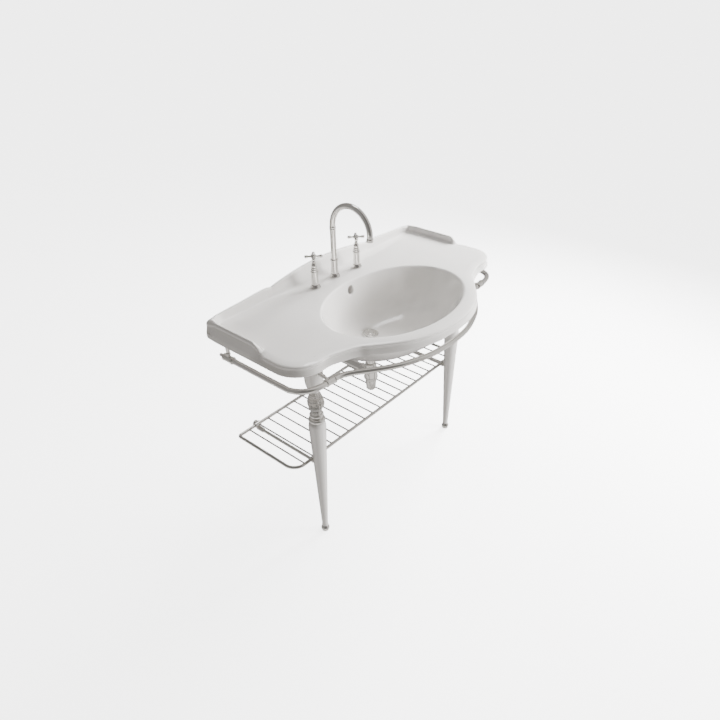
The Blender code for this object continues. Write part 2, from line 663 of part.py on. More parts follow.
def cut_for_shelf(fitting, x, y, arm_start):
    """Clears the frame rail, the arm and the nearest wire out of a fitting."""
    wire_x = math.copysign(8.5 * WIRE_PITCH, x)
    rail = rod_mesh((x - 0.03, y, SHELF_Z), (x + 0.03, y, SHELF_Z), FRAME_R + GAP, sides=12)
    wire = rod_mesh((wire_x, -0.01, SHELF_Z), (wire_x, -0.33, SHELF_Z), WIRE_R + GAP, sides=12)
    arm = rod_mesh((x, arm_start, ARM_Z), (x, -0.35, ARM_Z), ARM_R + GAP, sides=12)
    for cutter in (rail, wire, arm):
        combine(fitting, "DIFFERENCE", cutter)


def build_shelf_support(side_name, side):
    prefix = side_name + "_shelf"
    x = side * LEG_X
    rear = add_object(prefix + "_wall_bracket", rod_mesh((x, 0, SHELF_Z), (x, -0.006, SHELF_Z), 0.0125), nickel)
    half = 0.0135
    sleeve = rod_mesh((x - half, SHELF_BACK_Y, SHELF_Z), (x + half, SHELF_BACK_Y, SHELF_Z), 0.0105)
    combine(rear, "UNION", sleeve)
    combine(rear, "UNION", rod_mesh((x, SHELF_BACK_Y, ARM_Z), (x, -0.048, ARM_Z), 0.0090))
    cut_for_shelf(rear, x, SHELF_BACK_Y, ARM_BACK_Y + GAP)
    length = ARM_BACK_Y - ARM_FRONT_Y
    arm = [(0, 0), (ARM_R, 0), (ARM_R, -length), (0, -length)]
    turned(prefix + "_arm", arm, nickel, (x, ARM_BACK_Y, ARM_Z), (-math.pi / 2, 0, 0))
    half = 0.010
    sleeve = rod_mesh((x - half, SHELF_FRONT_Y, SHELF_Z), (x + half, SHELF_FRONT_Y, SHELF_Z), 0.0080)
    front = add_object(prefix + "_clamp", sleeve, nickel)
    combine(front, "UNION", rod_mesh((x, -0.298, ARM_Z), (x, -0.3205, ARM_Z), 0.0090))
    cut_for_shelf(front, x, SHELF_FRONT_Y, -0.25)


def build_wall_bolt(side_name, side):
    """A screw through the basin's rear lip into the wall, with its washer and head in the pocket."""
    profile = [(0, 0), (0.0050, 0), (0.0050, -0.0223), (0.0090, -0.0223), (0.0090, -0.0240), (0.0080, -0.0240)]
    profile += [(0.0080, -0.0300), (0, -0.0300)]
    turned(side_name + "_wall_bolt", profile, brass, (side * BOLT_X, 0, BOLT_Z), (-math.pi / 2, 0, 0))


def build():
    build_basin()
    for side_name, side in SIDES:
        build_tap(side_name, side)
        build_leg(side_name, side)
        build_rear_bracket(side_name, side)
        build_front_bracket(side_name, side)
        build_shelf_support(side_name, side)
        build_wall_bolt(side_name, side)
    build_spout()
    build_waste()
    build_trap()
    tube("towel_rail", rail_route(RAIL_END_Y), RAIL_R, nickel)
    build_rack()


build()
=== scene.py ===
"""Console wash basin on two turned legs: the visible pieces, their finishes, the lights and the camera,
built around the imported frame. Metres; the wall plane is at y = WALL and +Z is up."""

import json
import math

import bmesh
import bpy
from mathutils import Matrix, Vector


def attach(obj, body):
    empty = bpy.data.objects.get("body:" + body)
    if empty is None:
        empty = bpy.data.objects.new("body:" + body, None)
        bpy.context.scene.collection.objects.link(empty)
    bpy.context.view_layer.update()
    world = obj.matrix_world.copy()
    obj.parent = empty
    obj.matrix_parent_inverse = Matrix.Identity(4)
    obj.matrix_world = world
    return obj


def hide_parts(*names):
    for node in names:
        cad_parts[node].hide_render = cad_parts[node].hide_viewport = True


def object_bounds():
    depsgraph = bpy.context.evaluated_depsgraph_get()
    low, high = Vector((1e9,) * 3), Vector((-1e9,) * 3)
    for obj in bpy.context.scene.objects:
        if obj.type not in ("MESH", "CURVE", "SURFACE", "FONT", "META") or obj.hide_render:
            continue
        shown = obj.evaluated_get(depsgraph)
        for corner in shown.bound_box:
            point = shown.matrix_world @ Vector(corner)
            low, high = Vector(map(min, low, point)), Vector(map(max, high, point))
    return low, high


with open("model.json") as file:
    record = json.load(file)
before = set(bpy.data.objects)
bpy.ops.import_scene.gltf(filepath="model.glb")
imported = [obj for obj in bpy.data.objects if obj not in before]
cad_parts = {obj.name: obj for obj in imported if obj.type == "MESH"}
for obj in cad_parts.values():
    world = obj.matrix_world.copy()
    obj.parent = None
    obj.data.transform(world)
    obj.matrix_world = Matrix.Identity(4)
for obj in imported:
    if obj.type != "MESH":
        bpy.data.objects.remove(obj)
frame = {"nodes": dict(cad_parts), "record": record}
CAD_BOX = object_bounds()

WALL = CAD_BOX[1][1]
SIDES = (("left", -1), ("right", 1))

# Basin.
HALF_WIDTH = 0.556
DEPTH = 0.625
DECK_Z = 0.840
APRON_H = 0.037
BACK_CORNER_R = 0.022
INNER_CORNER_R = 0.008
CORNER_RUN = 0.12
FRONT_CORNER_R = 0.101
SIDE_END_Y = -0.343
GALLERY_END_Y = -0.262
GALLERY_H = 0.025
GALLERY_ROUND = 0.037
GALLERY_LEAN = 0.013
MOULDING_START_Y = -0.215
MOULDING_END_Y = -0.290
COVE_HALF = 0.280
COVE_DEPTH = 0.028
BOWL_Y = -0.360
BOWL_A = 0.297
BOWL_B = 0.2125
FLOOR_Z = 0.652
FLOOR_R = 0.036
WASTE_HOLE_R = 0.0235
DRAIN_Y = -0.245
OVERFLOW_Z = 0.806
OVERFLOW_HALF_WIDTH = 0.0160
OVERFLOW_HALF_HEIGHT = 0.0165
OVERFLOW_BACK_Y = -0.120
POCKET_HALF = 0.36
POCKET_BACK_Y = -0.022
POCKET_FRONT_Y = -0.114
POCKET_TOP_Z = 0.822
BOLT_X = 0.30
BOLT_Z = 0.8125
BOLT_HOLE_R = 0.0055

# Taps, spout and trap.
GAP = 0.0003
PILLAR_R = 0.0124
SHANK_Z = 0.765
BORE_R = 0.0128
WASHER_R = 0.0210
WASHER_H = 0.0030
DECK_HOLE_R = 0.0145
TAP_TOP_Z = 0.905
SPOUT_BODY_TOP_Z = 0.909
HANDLE_ARM_Z = 0.9602
TAP_X = 0.1137
TAP_Y = -0.085
SPOUT_Y = -0.076
SPOUT_R = 0.0105
SPOUT_ARCH_R = 0.0875
SPOUT_ARCH_Z = 1.0365
SPOUT_TURN = math.radians(184)
SPOUT_RING_Z = 1.028
CROSS_HALF = 0.0200
CROSS_Z = 0.603
OUTLET_Z = 0.4805

# Legs, rail and shelf.
LEG_X = 0.405
LEG_Y = -0.349
RAIL_X = 0.5425
RAIL_Z = 0.753
RAIL_R = 0.0095
RAIL_END_Y = -0.078
RAIL_COLLAR_Y = -0.097
POST_Y = -0.101
FINIAL_NECK_Y = -0.0725
FINIAL_Y = -0.0600
FRONT_BRACKET_X = 0.427
FRONT_BRACKET_Y = -0.4466
ARM_ROOT_Z = 0.7455
SHELF_Z = 0.350
SHELF_HALF = 0.497
SHELF_BACK_Y = -0.014
SHELF_FRONT_Y = -0.316
SHELF_CORNER_R = 0.045
FRAME_R = 0.006
WIRE_R = 0.0032
WIRE_PITCH = 0.0471
WIRES = 20
ARM_R = 0.006
ARM_Z = 0.3355
ARM_START_Y = -0.0225
ARM_END_Y = -0.3240


# Finishes.


def new_material(name):
    made = bpy.data.materials.new(name)
    made.use_nodes = True
    tree = made.node_tree
    return made, tree, tree.nodes["Principled BSDF"]


def noise(tree, scale, detail=3.0, stretch=(1, 1, 1)):
    """The value of a noise over the piece's own coordinates."""
    place = tree.nodes.new("ShaderNodeTexCoord")
    spread = tree.nodes.new("ShaderNodeMapping")
    spread.inputs["Scale"].default_value = stretch
    made = tree.nodes.new("ShaderNodeTexNoise")
    made.inputs["Scale"].default_value = scale
    made.inputs["Detail"].default_value = detail
    tree.links.new(place.outputs["Object"], spread.inputs["Vector"])
    tree.links.new(spread.outputs["Vector"], made.inputs["Vector"])
    return made.outputs["Fac"]


def spread_value(tree, value, low, high, from_low=0.3, from_high=0.7):
    made = tree.nodes.new("ShaderNodeMapRange")
    made.inputs["From Min"].default_value = from_low
    made.inputs["From Max"].default_value = from_high
    made.inputs["To Min"].default_value = low
    made.inputs["To Max"].default_value = high
    tree.links.new(value, made.inputs["Value"])
    return made.outputs["Result"]


def spread_colour(tree, value, low, high):
    made = tree.nodes.new("ShaderNodeValToRGB")
    made.color_ramp.elements[0].position = 0.3
    made.color_ramp.elements[0].color = (*low, 1)
    made.color_ramp.elements[1].position = 0.7
    made.color_ramp.elements[1].color = (*high, 1)
    tree.links.new(value, made.inputs["Fac"])
    return made.outputs["Color"]


def bump(tree, shader, value, strength, distance):
    made = tree.nodes.new("ShaderNodeBump")
    made.inputs["Strength"].default_value = strength
    made.inputs["Distance"].default_value = distance
    tree.links.new(value, made.inputs["Height"])
    tree.links.new(made.outputs["Normal"], shader.inputs["Normal"])


def glaze(name, low, high, coat_ior=1.5):
    """White vitreous china: a thin clear gloss over a very slightly uneven body."""
    made, tree, shader = new_material(name)
    tree.links.new(spread_colour(tree, noise(tree, 9.0), low, high), shader.inputs["Base Color"])
    tree.links.new(spread_value(tree, noise(tree, 34.0), 0.07, 0.13), shader.inputs["Roughness"])
    shader.inputs["IOR"].default_value = 1.52
    shader.inputs["Coat Weight"].default_value = 0.7
    shader.inputs["Coat Roughness"].default_value = 0.04
    shader.inputs["Coat IOR"].default_value = coat_ior
    bump(tree, shader, noise(tree, 55.0, 2.0), 0.10, 0.0006)
    return made


def metal(name, low, high, rough_low, rough_high, grain, stretch=(1, 1, 1)):
    made, tree, shader = new_material(name)
    shader.inputs["Metallic"].default_value = 1.0
    tree.links.new(spread_colour(tree, noise(tree, 24.0), low, high), shader.inputs["Base Color"])
    rough = spread_value(tree, noise(tree, grain, 5.0, stretch), rough_low, rough_high)
    tree.links.new(rough, shader.inputs["Roughness"])
    bump(tree, shader, noise(tree, grain * 1.7, 4.0, stretch), 0.06, 0.0002)
    return made


def rubber(name):
    made, tree, shader = new_material(name)
    colour = spread_colour(tree, noise(tree, 90.0), (0.018, 0.018, 0.019), (0.035, 0.034, 0.033))
    tree.links.new(colour, shader.inputs["Base Color"])
    tree.links.new(spread_value(tree, noise(tree, 160.0), 0.62, 0.80), shader.inputs["Roughness"])
    bump(tree, shader, noise(tree, 420.0), 0.3, 0.0003)
    return made


FINISHES = {
    "basin_glaze": glaze("basin_glaze_look", (0.79, 0.77, 0.745), (0.82, 0.80, 0.775)),
    "leg_glaze": glaze("leg_glaze_look", (0.79, 0.77, 0.745), (0.82, 0.80, 0.775), 2.0),
    "nickel": metal("nickel_look", (0.70, 0.685, 0.66), (0.76, 0.745, 0.72), 0.05, 0.10, 60.0),
    "shelf_nickel": metal("shelf_nickel_look", (0.52, 0.505, 0.485), (0.58, 0.565, 0.545), 0.10, 0.16, 60.0),
    "index_cap": glaze("index_cap_look", (0.82, 0.81, 0.79), (0.86, 0.85, 0.83)),
    "brass": metal("brass_look", (0.58, 0.43, 0.20), (0.70, 0.55, 0.29), 0.24, 0.42, 140.0),
    "rubber": rubber("rubber_look"),
}

BODY_OF = {node: body for body, nodes in frame["record"]["behaviour"]["bodies"].items() for node in nodes}


def slot_of(node):
    if node == "basin":
        return "basin_glaze"
    if node.endswith(("_shaft", "_capital")):
        return "leg_glaze"
    if node.endswith("_cap"):
        return "index_cap"
    if node.endswith(("_washer", "_gasket")):
        return "rubber"
    if node.endswith(("backnut", "_spindle", "_wall_bolt")):
        return "brass"
    return "nickel"


for node_name, node_object in frame["nodes"].items():
    for node_slot in node_object.material_slots:
        node_slot.material = FINISHES[slot_of(node_name)]


# Shapes.


def smooth_step(share):
    share = min(max(share, 0.0), 1.0)
    return share * share * (3 - 2 * share)


def new_mesh(name, verts, faces):
    mesh = bpy.data.meshes.new(name)
    mesh.from_pydata([tuple(v) for v in verts], [], faces)
    mesh.validate()
    return mesh


def turn_normals_out(mesh):
    shape = bmesh.new()
    shape.from_mesh(mesh)
    bmesh.ops.recalc_face_normals(shape, faces=shape.faces)
    shape.to_mesh(mesh)
    shape.free()


def join(name, meshes):
    """One mesh of several closed shells."""
    shape = bmesh.new()
    for mesh in meshes:
        shape.from_mesh(mesh)
        bpy.data.meshes.remove(mesh)
    made = bpy.data.meshes.new(name)
    shape.to_mesh(made)
    shape.free()
    return made


def put(node, mesh, weighted=True, finish=None):
    """Shows the mesh in place of the CAD node of that name."""
    turn_normals_out(mesh)
    mesh.polygons.foreach_set("use_smooth", [True] * len(mesh.polygons))
    piece = bpy.data.objects.new(node + "_fine", mesh)
    bpy.context.scene.collection.objects.link(piece)
    mesh.materials.append(FINISHES[finish or slot_of(node)])
    if weighted:
        even = piece.modifiers.new("even_shading", "WEIGHTED_NORMAL")
        even.keep_sharp = True
    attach(piece, BODY_OF[node])
    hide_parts(node)


def catmull(points, per_span):
    """Points of a smooth curve through the given ones."""
    ends = [points[0], *points, points[-1]]
    found = []
    for a, b, c, d in zip(ends, ends[1:], ends[2:], ends[3:]):
        for step in range(per_span):
            t = step / per_span
            spot = []
            for p, q, r, s in zip(a, b, c, d):
                bend = (2 * p - 5 * q + 4 * r - s) * t**2
                spot.append(q + 0.5 * ((r - p) * t + bend + (3 * q - p - 3 * r + s) * t**3))
            found.append(tuple(spot))
    return found + [tuple(points[-1])]


def soften(profile, closed, radius, steps=4):
    """The profile with each corner rounded. A point may carry its own rounding as a third value."""
    count = len(profile)
    found = []
    for i, point in enumerate(profile):
        here = Vector(point[:2])
        at_end = not closed and i in (0, count - 1)
        if at_end or here.x < 1e-6:
            found.append(here)
            continue
        before = Vector(profile[i - 1][:2]) - here
        after = Vector(profile[(i + 1) % count][:2]) - here
        reach = point[2] if len(point) > 2 else radius
        reach = min(reach, 0.48 * before.length, 0.48 * after.length)
        start = here + before.normalized() * reach
        end = here + after.normalized() * reach
        for step in range(steps + 1):
            t = step / steps
            found.append(start * (1 - t) ** 2 + here * 2 * t * (1 - t) + end * t**2)
    return found


def lathe(profile, place=(0, 0, 0), turn=None, closed=False, segments=64, radius=0.0007, relief=None):
    """A turned shell. The profile is (radius, height) pairs; relief(r, z, angle) gives a carved radius."""
    points = soften(profile, closed, radius)
    verts, rings = [], []
    for r, z in points:
        if r < 1e-6:
            rings.append([len(verts)])
            verts.append(Vector((0, 0, z)))
            continue
        rings.append(list(range(len(verts), len(verts) + segments)))
        for i in range(segments):
            angle = math.tau * i / segments
            reach = relief(r, z, angle) if relief else r
            verts.append(Vector((reach * math.cos(angle), reach * math.sin(angle), z)))
    faces = []
    pairs = list(zip(rings, rings[1:])) + ([(rings[-1], rings[0])] if closed else [])
    for a, b in pairs:
        for i in range(segments):
            j = (i + 1) % segments
            corners = [a[i % len(a)], a[j % len(a)], b[j % len(b)], b[i % len(b)]]
            faces.append(list(dict.fromkeys(corners)))
    faces = [face for face in faces if len(face) > 2]
    move = Matrix.Translation((place[0], place[1] + WALL, place[2]))
    if turn is not None:
        move = move @ turn
    return new_mesh("turned", [move @ v for v in verts], faces)


def pointing(direction):
    """The turn that lays a lathe's height along a direction."""
    return Vector(direction).normalized().to_track_quat("Z", "Y").to_matrix().to_4x4()


TO_WALL = Matrix.Rotation(-math.pi / 2, 4, "X")


def sweep(route, radius, sides=32, cyclic=False, edge=0.0008):
    """A round bar along a route, with softly rounded ends."""
    route = [Vector(p) for p in route]
    count = len(route)
    tangents = []
    for i in range(count):
        if cyclic:
            ahead, behind = route[(i + 1) % count], route[i - 1]
        else:
            ahead, behind = route[min(i + 1, count - 1)], route[max(i - 1, 0)]
        tangents.append((ahead - behind).normalized())
    side = tangents[0].orthogonal().normalized()
    stations = []
    for point, tangent in zip(route, tangents):
        side = (side - tangent * side.dot(tangent)).normalized()
        stations.append((point, side.copy(), tangent.cross(side), radius))
    if not cyclic:
        first, last = stations[0], stations[-1]
        head, tail = [], []
        for share in (1.0, 0.65, 0.3):
            inner = radius - edge * (1 - math.sqrt(1 - share * share))
            head.append((first[0] - tangents[0] * edge * (share - 1), first[1], first[2], inner))
            tail.insert(0, (last[0] + tangents[-1] * edge * (share - 1), last[1], last[2], inner))
        stations = head + stations[1:-1] + tail
    verts = []
    for point, across, up, size in stations:
        for i in range(sides):
            angle = math.tau * i / sides
            spot = point + across * (size * math.cos(angle)) + up * (size * math.sin(angle))
            verts.append((spot.x, spot.y + WALL, spot.z))
    faces = []
    rows = len(stations)
    for row in range(rows if cyclic else rows - 1):
        a, b = row * sides, (row + 1) % rows * sides
        faces += [(a + i, a + (i + 1) % sides, b + (i + 1) % sides, b + i) for i in range(sides)]
    if not cyclic:
        faces.append(list(range(sides))[::-1])
        faces.append(list(range((rows - 1) * sides, rows * sides)))
    return new_mesh("bar", verts, faces)


def ball(centre, radius, direction=(0, 0, 1)):
    turns = [math.pi * i / 14 for i in range(15)]
    profile = [(radius * math.sin(a), radius * math.cos(a)) for a in turns]
    profile[0], profile[-1] = (0, radius), (0, -radius)
    return lathe(profile, centre, pointing(direction), segments=28, radius=0)


def rod(start, end, radius, end_radius=None, sides=32, edge=0.0006):
    start, end = Vector(start), Vector(end)
    far = radius if end_radius is None else end_radius
    length = (end - start).length
    profile = [(0, length), (far, length, edge), (radius, 0, edge), (0, 0)]
    return lathe(profile, start, pointing(end - start), segments=sides)


def box(low, high):
    spans = list(zip(low, high))
    corners = [(x, y + WALL, z) for x in spans[0] for y in spans[1] for z in spans[2]]
    faces = [(0, 1, 3, 2), (4, 6, 7, 5), (0, 4, 5, 1), (2, 3, 7, 6), (0, 2, 6, 4), (1, 5, 7, 3)]
    return new_mesh("box", corners, faces)


def cut(piece, mesh, operation="DIFFERENCE"):
    """Applies one Boolean to the piece, before it rides on anything."""
    turn_normals_out(mesh)
    helper = bpy.data.objects.new("helper", mesh)
    bpy.context.scene.collection.objects.link(helper)
    step = piece.modifiers.new("step", "BOOLEAN")
    step.operation = operation
    step.solver = "EXACT"
    step.object = helper
    bpy.context.view_layer.update()
    evaluated = piece.evaluated_get(bpy.context.evaluated_depsgraph_get())
    result = bpy.data.meshes.new_from_object(evaluated)
    piece.modifiers.clear()
    piece.data = result
    bpy.data.objects.remove(helper)
    bpy.data.meshes.remove(mesh)


# The basin.

END_LEAN = 0.010
END_LEAN_BEFORE = 0.030
END_LEAN_AFTER = 0.028
ARCH_HALF = 0.258
ARCH_LOW = 0.032
ARCH_RISE = 0.030
LOW_CREST = (
    (0.258, 0.0330), (0.275, 0.0372), (0.295, 0.0380), (0.33, 0.0358), (0.40, 0.0312), (0.48, 0.0268),
    (0.57, 0.0230),
)


def crest_height(x):
    """Height of the upstand's top above the deck."""
    x = abs(x)
    if x < ARCH_HALF:
        return ARCH_LOW + ARCH_RISE * math.cos(math.pi * x / (2 * ARCH_HALF)) ** 0.8
    for (x0, h0), (x1, h1) in zip(LOW_CREST, LOW_CREST[1:]):
        if x <= x1:
            t = (x - x0) / (x1 - x0)
            return h0 + (h1 - h0) * t
    return LOW_CREST[-1][1]


def side_height(y):
    past = (GALLERY_END_Y + GALLERY_ROUND - y) / GALLERY_ROUND
    if past <= 0:
        return GALLERY_H
    return GALLERY_H * (1 - min(past, 1.0) ** 1.7)


def end_lean(y):
    """How much further in the gallery's outer face leans as the gallery runs out."""
    if y < GALLERY_END_Y:
        share = (y - GALLERY_END_Y + END_LEAN_AFTER) / END_LEAN_AFTER
    else:
        share = (GALLERY_END_Y + END_LEAN_BEFORE - y) / END_LEAN_BEFORE
    return END_LEAN * smooth_step(share)


def moulding_share(y):
    return smooth_step((MOULDING_START_Y - y) / (MOULDING_START_Y - MOULDING_END_Y))


def arc(centre, radius, start_deg, end_deg, steps):
    turns = [math.radians(start_deg + (end_deg - start_deg) * i / steps) for i in range(1, steps + 1)]
    return [(centre[0] + radius * math.cos(a), centre[1] + radius * math.sin(a)) for a in turns]


def straight(start, end, step):
    start, end = Vector(start), Vector(end)
    count = max(1, round((end - start).length / step))
    return [tuple(start.lerp(end, i / count)) for i in range(1, count + 1)]


def half_outline():
    """The right half of the plan, from the middle of the wall side round to the middle of the front."""
    flat = HALF_WIDTH - BACK_CORNER_R
    points = [(0.0, 0.0)]
    # Steps are finer where the upstand's arch ends and where the gallery runs out.
    points += straight((0, 0), (0.24, 0), 0.008)
    points += straight((0.24, 0), (0.30, 0), 0.0025)
    points += straight((0.30, 0), (flat, 0), 0.010)
    points += arc((flat, -BACK_CORNER_R), BACK_CORNER_R, 90, 0, 12)
    points += straight((HALF_WIDTH, -BACK_CORNER_R), (HALF_WIDTH, -0.215), 0.010)
    points += straight((HALF_WIDTH, -0.215), (HALF_WIDTH, -0.300), 0.0025)
    points += straight((HALF_WIDTH, -0.300), (HALF_WIDTH, SIDE_END_Y), 0.008)
    points += arc((HALF_WIDTH - FRONT_CORNER_R, SIDE_END_Y), FRONT_CORNER_R, 0, -90, 18)
    front = ((0.41, -0.4465), (0.33, -0.476), (0.2925, -0.5055), (0.195, -0.579), (0.0975, -0.616))
    points += catmull([points[-1], *front, (0, -DEPTH)], 10)[1:]
    return points


def outline():
    """The whole plan as (x, y, outward x, outward y)."""
    right = half_outline()
    loop = right + [(-x, y) for x, y in reversed(right[1:-1])]
    found = []
    for i, (x, y) in enumerate(loop):
        before, after = loop[i - 1], loop[(i + 1) % len(loop)]
        along = Vector((after[0] - before[0], after[1] - before[1])).normalized()
        found.append((x, y, -along.y, along.x))
    return found


def bowl_ring(angle, share, spread=0.0):
    """A point of the bowl: each level is the rim's ellipse drawn in towards the drain."""
    reach = BOWL_A * BOWL_B / math.hypot(BOWL_B * math.cos(angle), BOWL_A * math.sin(angle))
    rim = Vector((reach * math.cos(angle), BOWL_Y - DRAIN_Y + reach * math.sin(angle)))
    keep = (1 - 0.3 * share) * math.sqrt(max(0.0, 1 - share**5))
    point = rim * keep
    size = max(point.length, 1e-6)
    direction = rim.normalized()
    size = (size**4 + (FLOOR_R * share**2) ** 4) ** 0.25
    point = direction * (size + spread * math.cos(share * math.pi / 2))
    drop = share * (DECK_Z - FLOOR_Z) + spread * math.sin(share * math.pi / 2)
    return Vector((point.x, DRAIN_Y + point.y, DECK_Z - drop))


# Each row up the apron: inset where the face is flat, inset where it is moulded, and height from the deck.
FACE = (
    (0.0060, 0.0060, -0.0370),
    (0.0024, 0.0020, -0.0369),
    (0.0006, 0.0003, -0.0354),
    (0.0000, 0.0004, -0.0325),
    (0.0000, 0.0042, -0.0275),
    (0.0000, 0.0086, -0.0225),
    (0.0000, 0.0104, -0.0175),
)
# Over the edge: the same two insets, the height from the edge's own top, and how much further the rolled
# edge falls where it is moulded.
EDGE = (
    (0.0000, 0.0084, -0.0125, 0.0012),
    (0.0000, 0.0046, -0.0085, 0.0018),
    (0.0008, 0.0034, -0.0048, 0.0022),
    (0.0028, 0.0054, -0.0016, 0.0026),
    (0.0058, 0.0098, 0.0000, 0.0024),
)
# Behind the edge: the two insets, share of the edge's height, fall from its top, share of the cove, and the
# rolled edge's fall.
BEHIND = (
    (0.0088, 0.0140, 1.00, 0.0008, 0.06, 0.0017),
    (0.0112, 0.0180, 1.00, 0.0030, 0.12, 0.0011),
    (0.0126, 0.0220, 1.00, 0.0070, 0.20, 0.0007),
    (0.0138, 0.0255, 0.50, 0.0, 0.40, 0.0004),
    (0.0160, 0.0290, 0.20, 0.0, 0.62, 0.0002),
    (0.0205, 0.0325, 0.04, 0.0, 0.86, 0.0000),
    (0.0290, 0.0360, 0.00, 0.0, 1.06, 0.0000),
)
# Down the bowl's inside: shares of its depth.
DEPTHS = (
    0.07, 0.10, 0.14, 0.19, 0.25, 0.31, 0.38, 0.45, 0.52, 0.59, 0.66, 0.72, 0.78, 0.83, 0.87, 0.905, 0.935,
    0.96, 0.978, 0.99,
)
# Down the bowl's outside: share of the depth and the wall's thickness there.
UNDERSIDE = (
    (0.97, 0.012),
    (0.92, 0.012),
    (0.84, 0.015),
    (0.74, 0.018),
    (0.62, 0.022),
    (0.50, 0.026),
    (0.38, 0.029),
    (0.28, 0.030),
)
LIP_WALL = 0.030
RIM_DEPTH = 0.045
RIM_REACH = 0.008
CORNER_CORE = 0.022
CORNER_FADE = 0.040
CORNER_SOFT = 1.2
CORNER_BACK = 0.007
FULL_FALL_H = 0.012


def corner_softness(x, y):
    """How near a place of the plan is to a rear corner, where the edges are rounded more."""
    away = math.hypot(HALF_WIDTH - abs(x), y) - CORNER_CORE
    return smooth_step(1 - away / CORNER_FADE)


def moved_in(x, y, nx, ny, side_inset, wall_inset):
    """A point of the plan, moved in from the basin's edge. The two rear corners tighten as they go in."""
    flat = HALF_WIDTH - BACK_CORNER_R
    radius = max(BACK_CORNER_R - max(side_inset, wall_inset), INNER_CORNER_R)
    corner_x = HALF_WIDTH - side_inset - radius
    corner_y = -wall_inset - radius
    side = math.copysign(1, x)
    if abs(x) > flat + 1e-9 and y > -BACK_CORNER_R + 1e-9:
        turn_x = (abs(x) - flat) / BACK_CORNER_R
        turn_y = (y + BACK_CORNER_R) / BACK_CORNER_R
        return side * (corner_x + radius * turn_x), corner_y + radius * turn_y
    if y >= -1e-9:
        past = max(0.0, abs(x) - COVE_HALF) / (flat - COVE_HALF)
        return side * (min(abs(x), COVE_HALF) + past * (corner_x - COVE_HALF)), -wall_inset
    if y > -CORNER_RUN:
        past = (y + CORNER_RUN) / (CORNER_RUN - BACK_CORNER_R)
        return side * (HALF_WIDTH - side_inset), past * (corner_y + CORNER_RUN) - CORNER_RUN
    return x - nx * side_inset, y - ny * side_inset


def basin_section(x, y, nx, ny):
    """One closed section: up the apron, over the gallery or upstand, across the deck, down the bowl to the
    waste hole, and back along the underside."""
    back = max(ny, 0.0)
    height = side_height(y) * (1 - back) + crest_height(x) * back
    moulded = moulding_share(y)
    cove = COVE_DEPTH * math.cos(math.pi * x / (2 * COVE_HALF)) if y > -1e-9 and abs(x) < COVE_HALF else 0.0
    lean = GALLERY_LEAN * side_height(y) / GALLERY_H + end_lean(y)

    soft = corner_softness(x, y)

    def spot(inset, z, leaning, from_wall=0.0):
        plan = moved_in(x, y, nx, ny, inset + leaning * lean, from_wall)
        return (*plan, DECK_Z + z)

    rows = []
    for flat, carved, z in FACE:
        inset = flat * (1 + CORNER_SOFT * soft)
        z = min(-APRON_H + (z + APRON_H) * (1 + CORNER_SOFT * soft), FACE[-1][2])
        rows.append(spot(inset + (carved - flat) * moulded, z, (z + APRON_H) / (APRON_H + height), inset))
    for flat, carved, z, roll in EDGE:
        inset = flat * (1 + CORNER_SOFT * soft)
        drop = z * (1 + soft) - roll * moulded
        rows.append(spot(inset + (carved - flat) * moulded, drop + height, 1.0, inset))
    fall_share = min(1.0, height / FULL_FALL_H)
    for flat, carved, share, fall, cove_share, roll in BEHIND:
        z = share * height - fall * fall_share - roll * moulded
        inset = flat + CORNER_BACK * soft
        rows.append(spot(inset + (carved - flat) * moulded, z, 1.0, inset + cove_share * cove))
    outer = [Vector(p) for p in catmull(rows, 3)]

    angle = math.atan2(y - BOWL_Y, x)
    rim_out = bowl_ring(angle, 0, RIM_REACH)
    rim_out.z = DECK_Z
    deck = [outer[-1].lerp(rim_out, i / 6) for i in range(1, 6)]
    corner = bowl_ring(angle, 0)
    rim_in = bowl_ring(angle, RIM_DEPTH)
    rim = []
    for t in (i / 7 for i in range(8)):
        rim.append(rim_out * (1 - t) ** 2 + corner * 2 * t * (1 - t) + rim_in * t**2)
    wall = [bowl_ring(angle, share) for share in DEPTHS]

    def drain(radius, z):
        return Vector((radius * math.cos(angle), DRAIN_Y + radius * math.sin(angle), z))

    well = [drain(FLOOR_R, FLOOR_Z + 0.0006), drain(0.0335, FLOOR_Z), drain(WASTE_HOLE_R, FLOOR_Z)]
    well += [drain(WASTE_HOLE_R, FLOOR_Z - 0.016), drain(FLOOR_R, FLOOR_Z - 0.016)]
    under = [bowl_ring(angle, share, wall) for share, wall in UNDERSIDE]
    lip = bowl_ring(angle, APRON_H / (DECK_Z - FLOOR_Z), LIP_WALL)
    lip.z = DECK_Z - APRON_H
    closing = [lip.lerp(outer[0], share) for share in (0.0, 0.3, 0.6, 0.85)]
    return outer + deck + rim + wall + well + under + closing


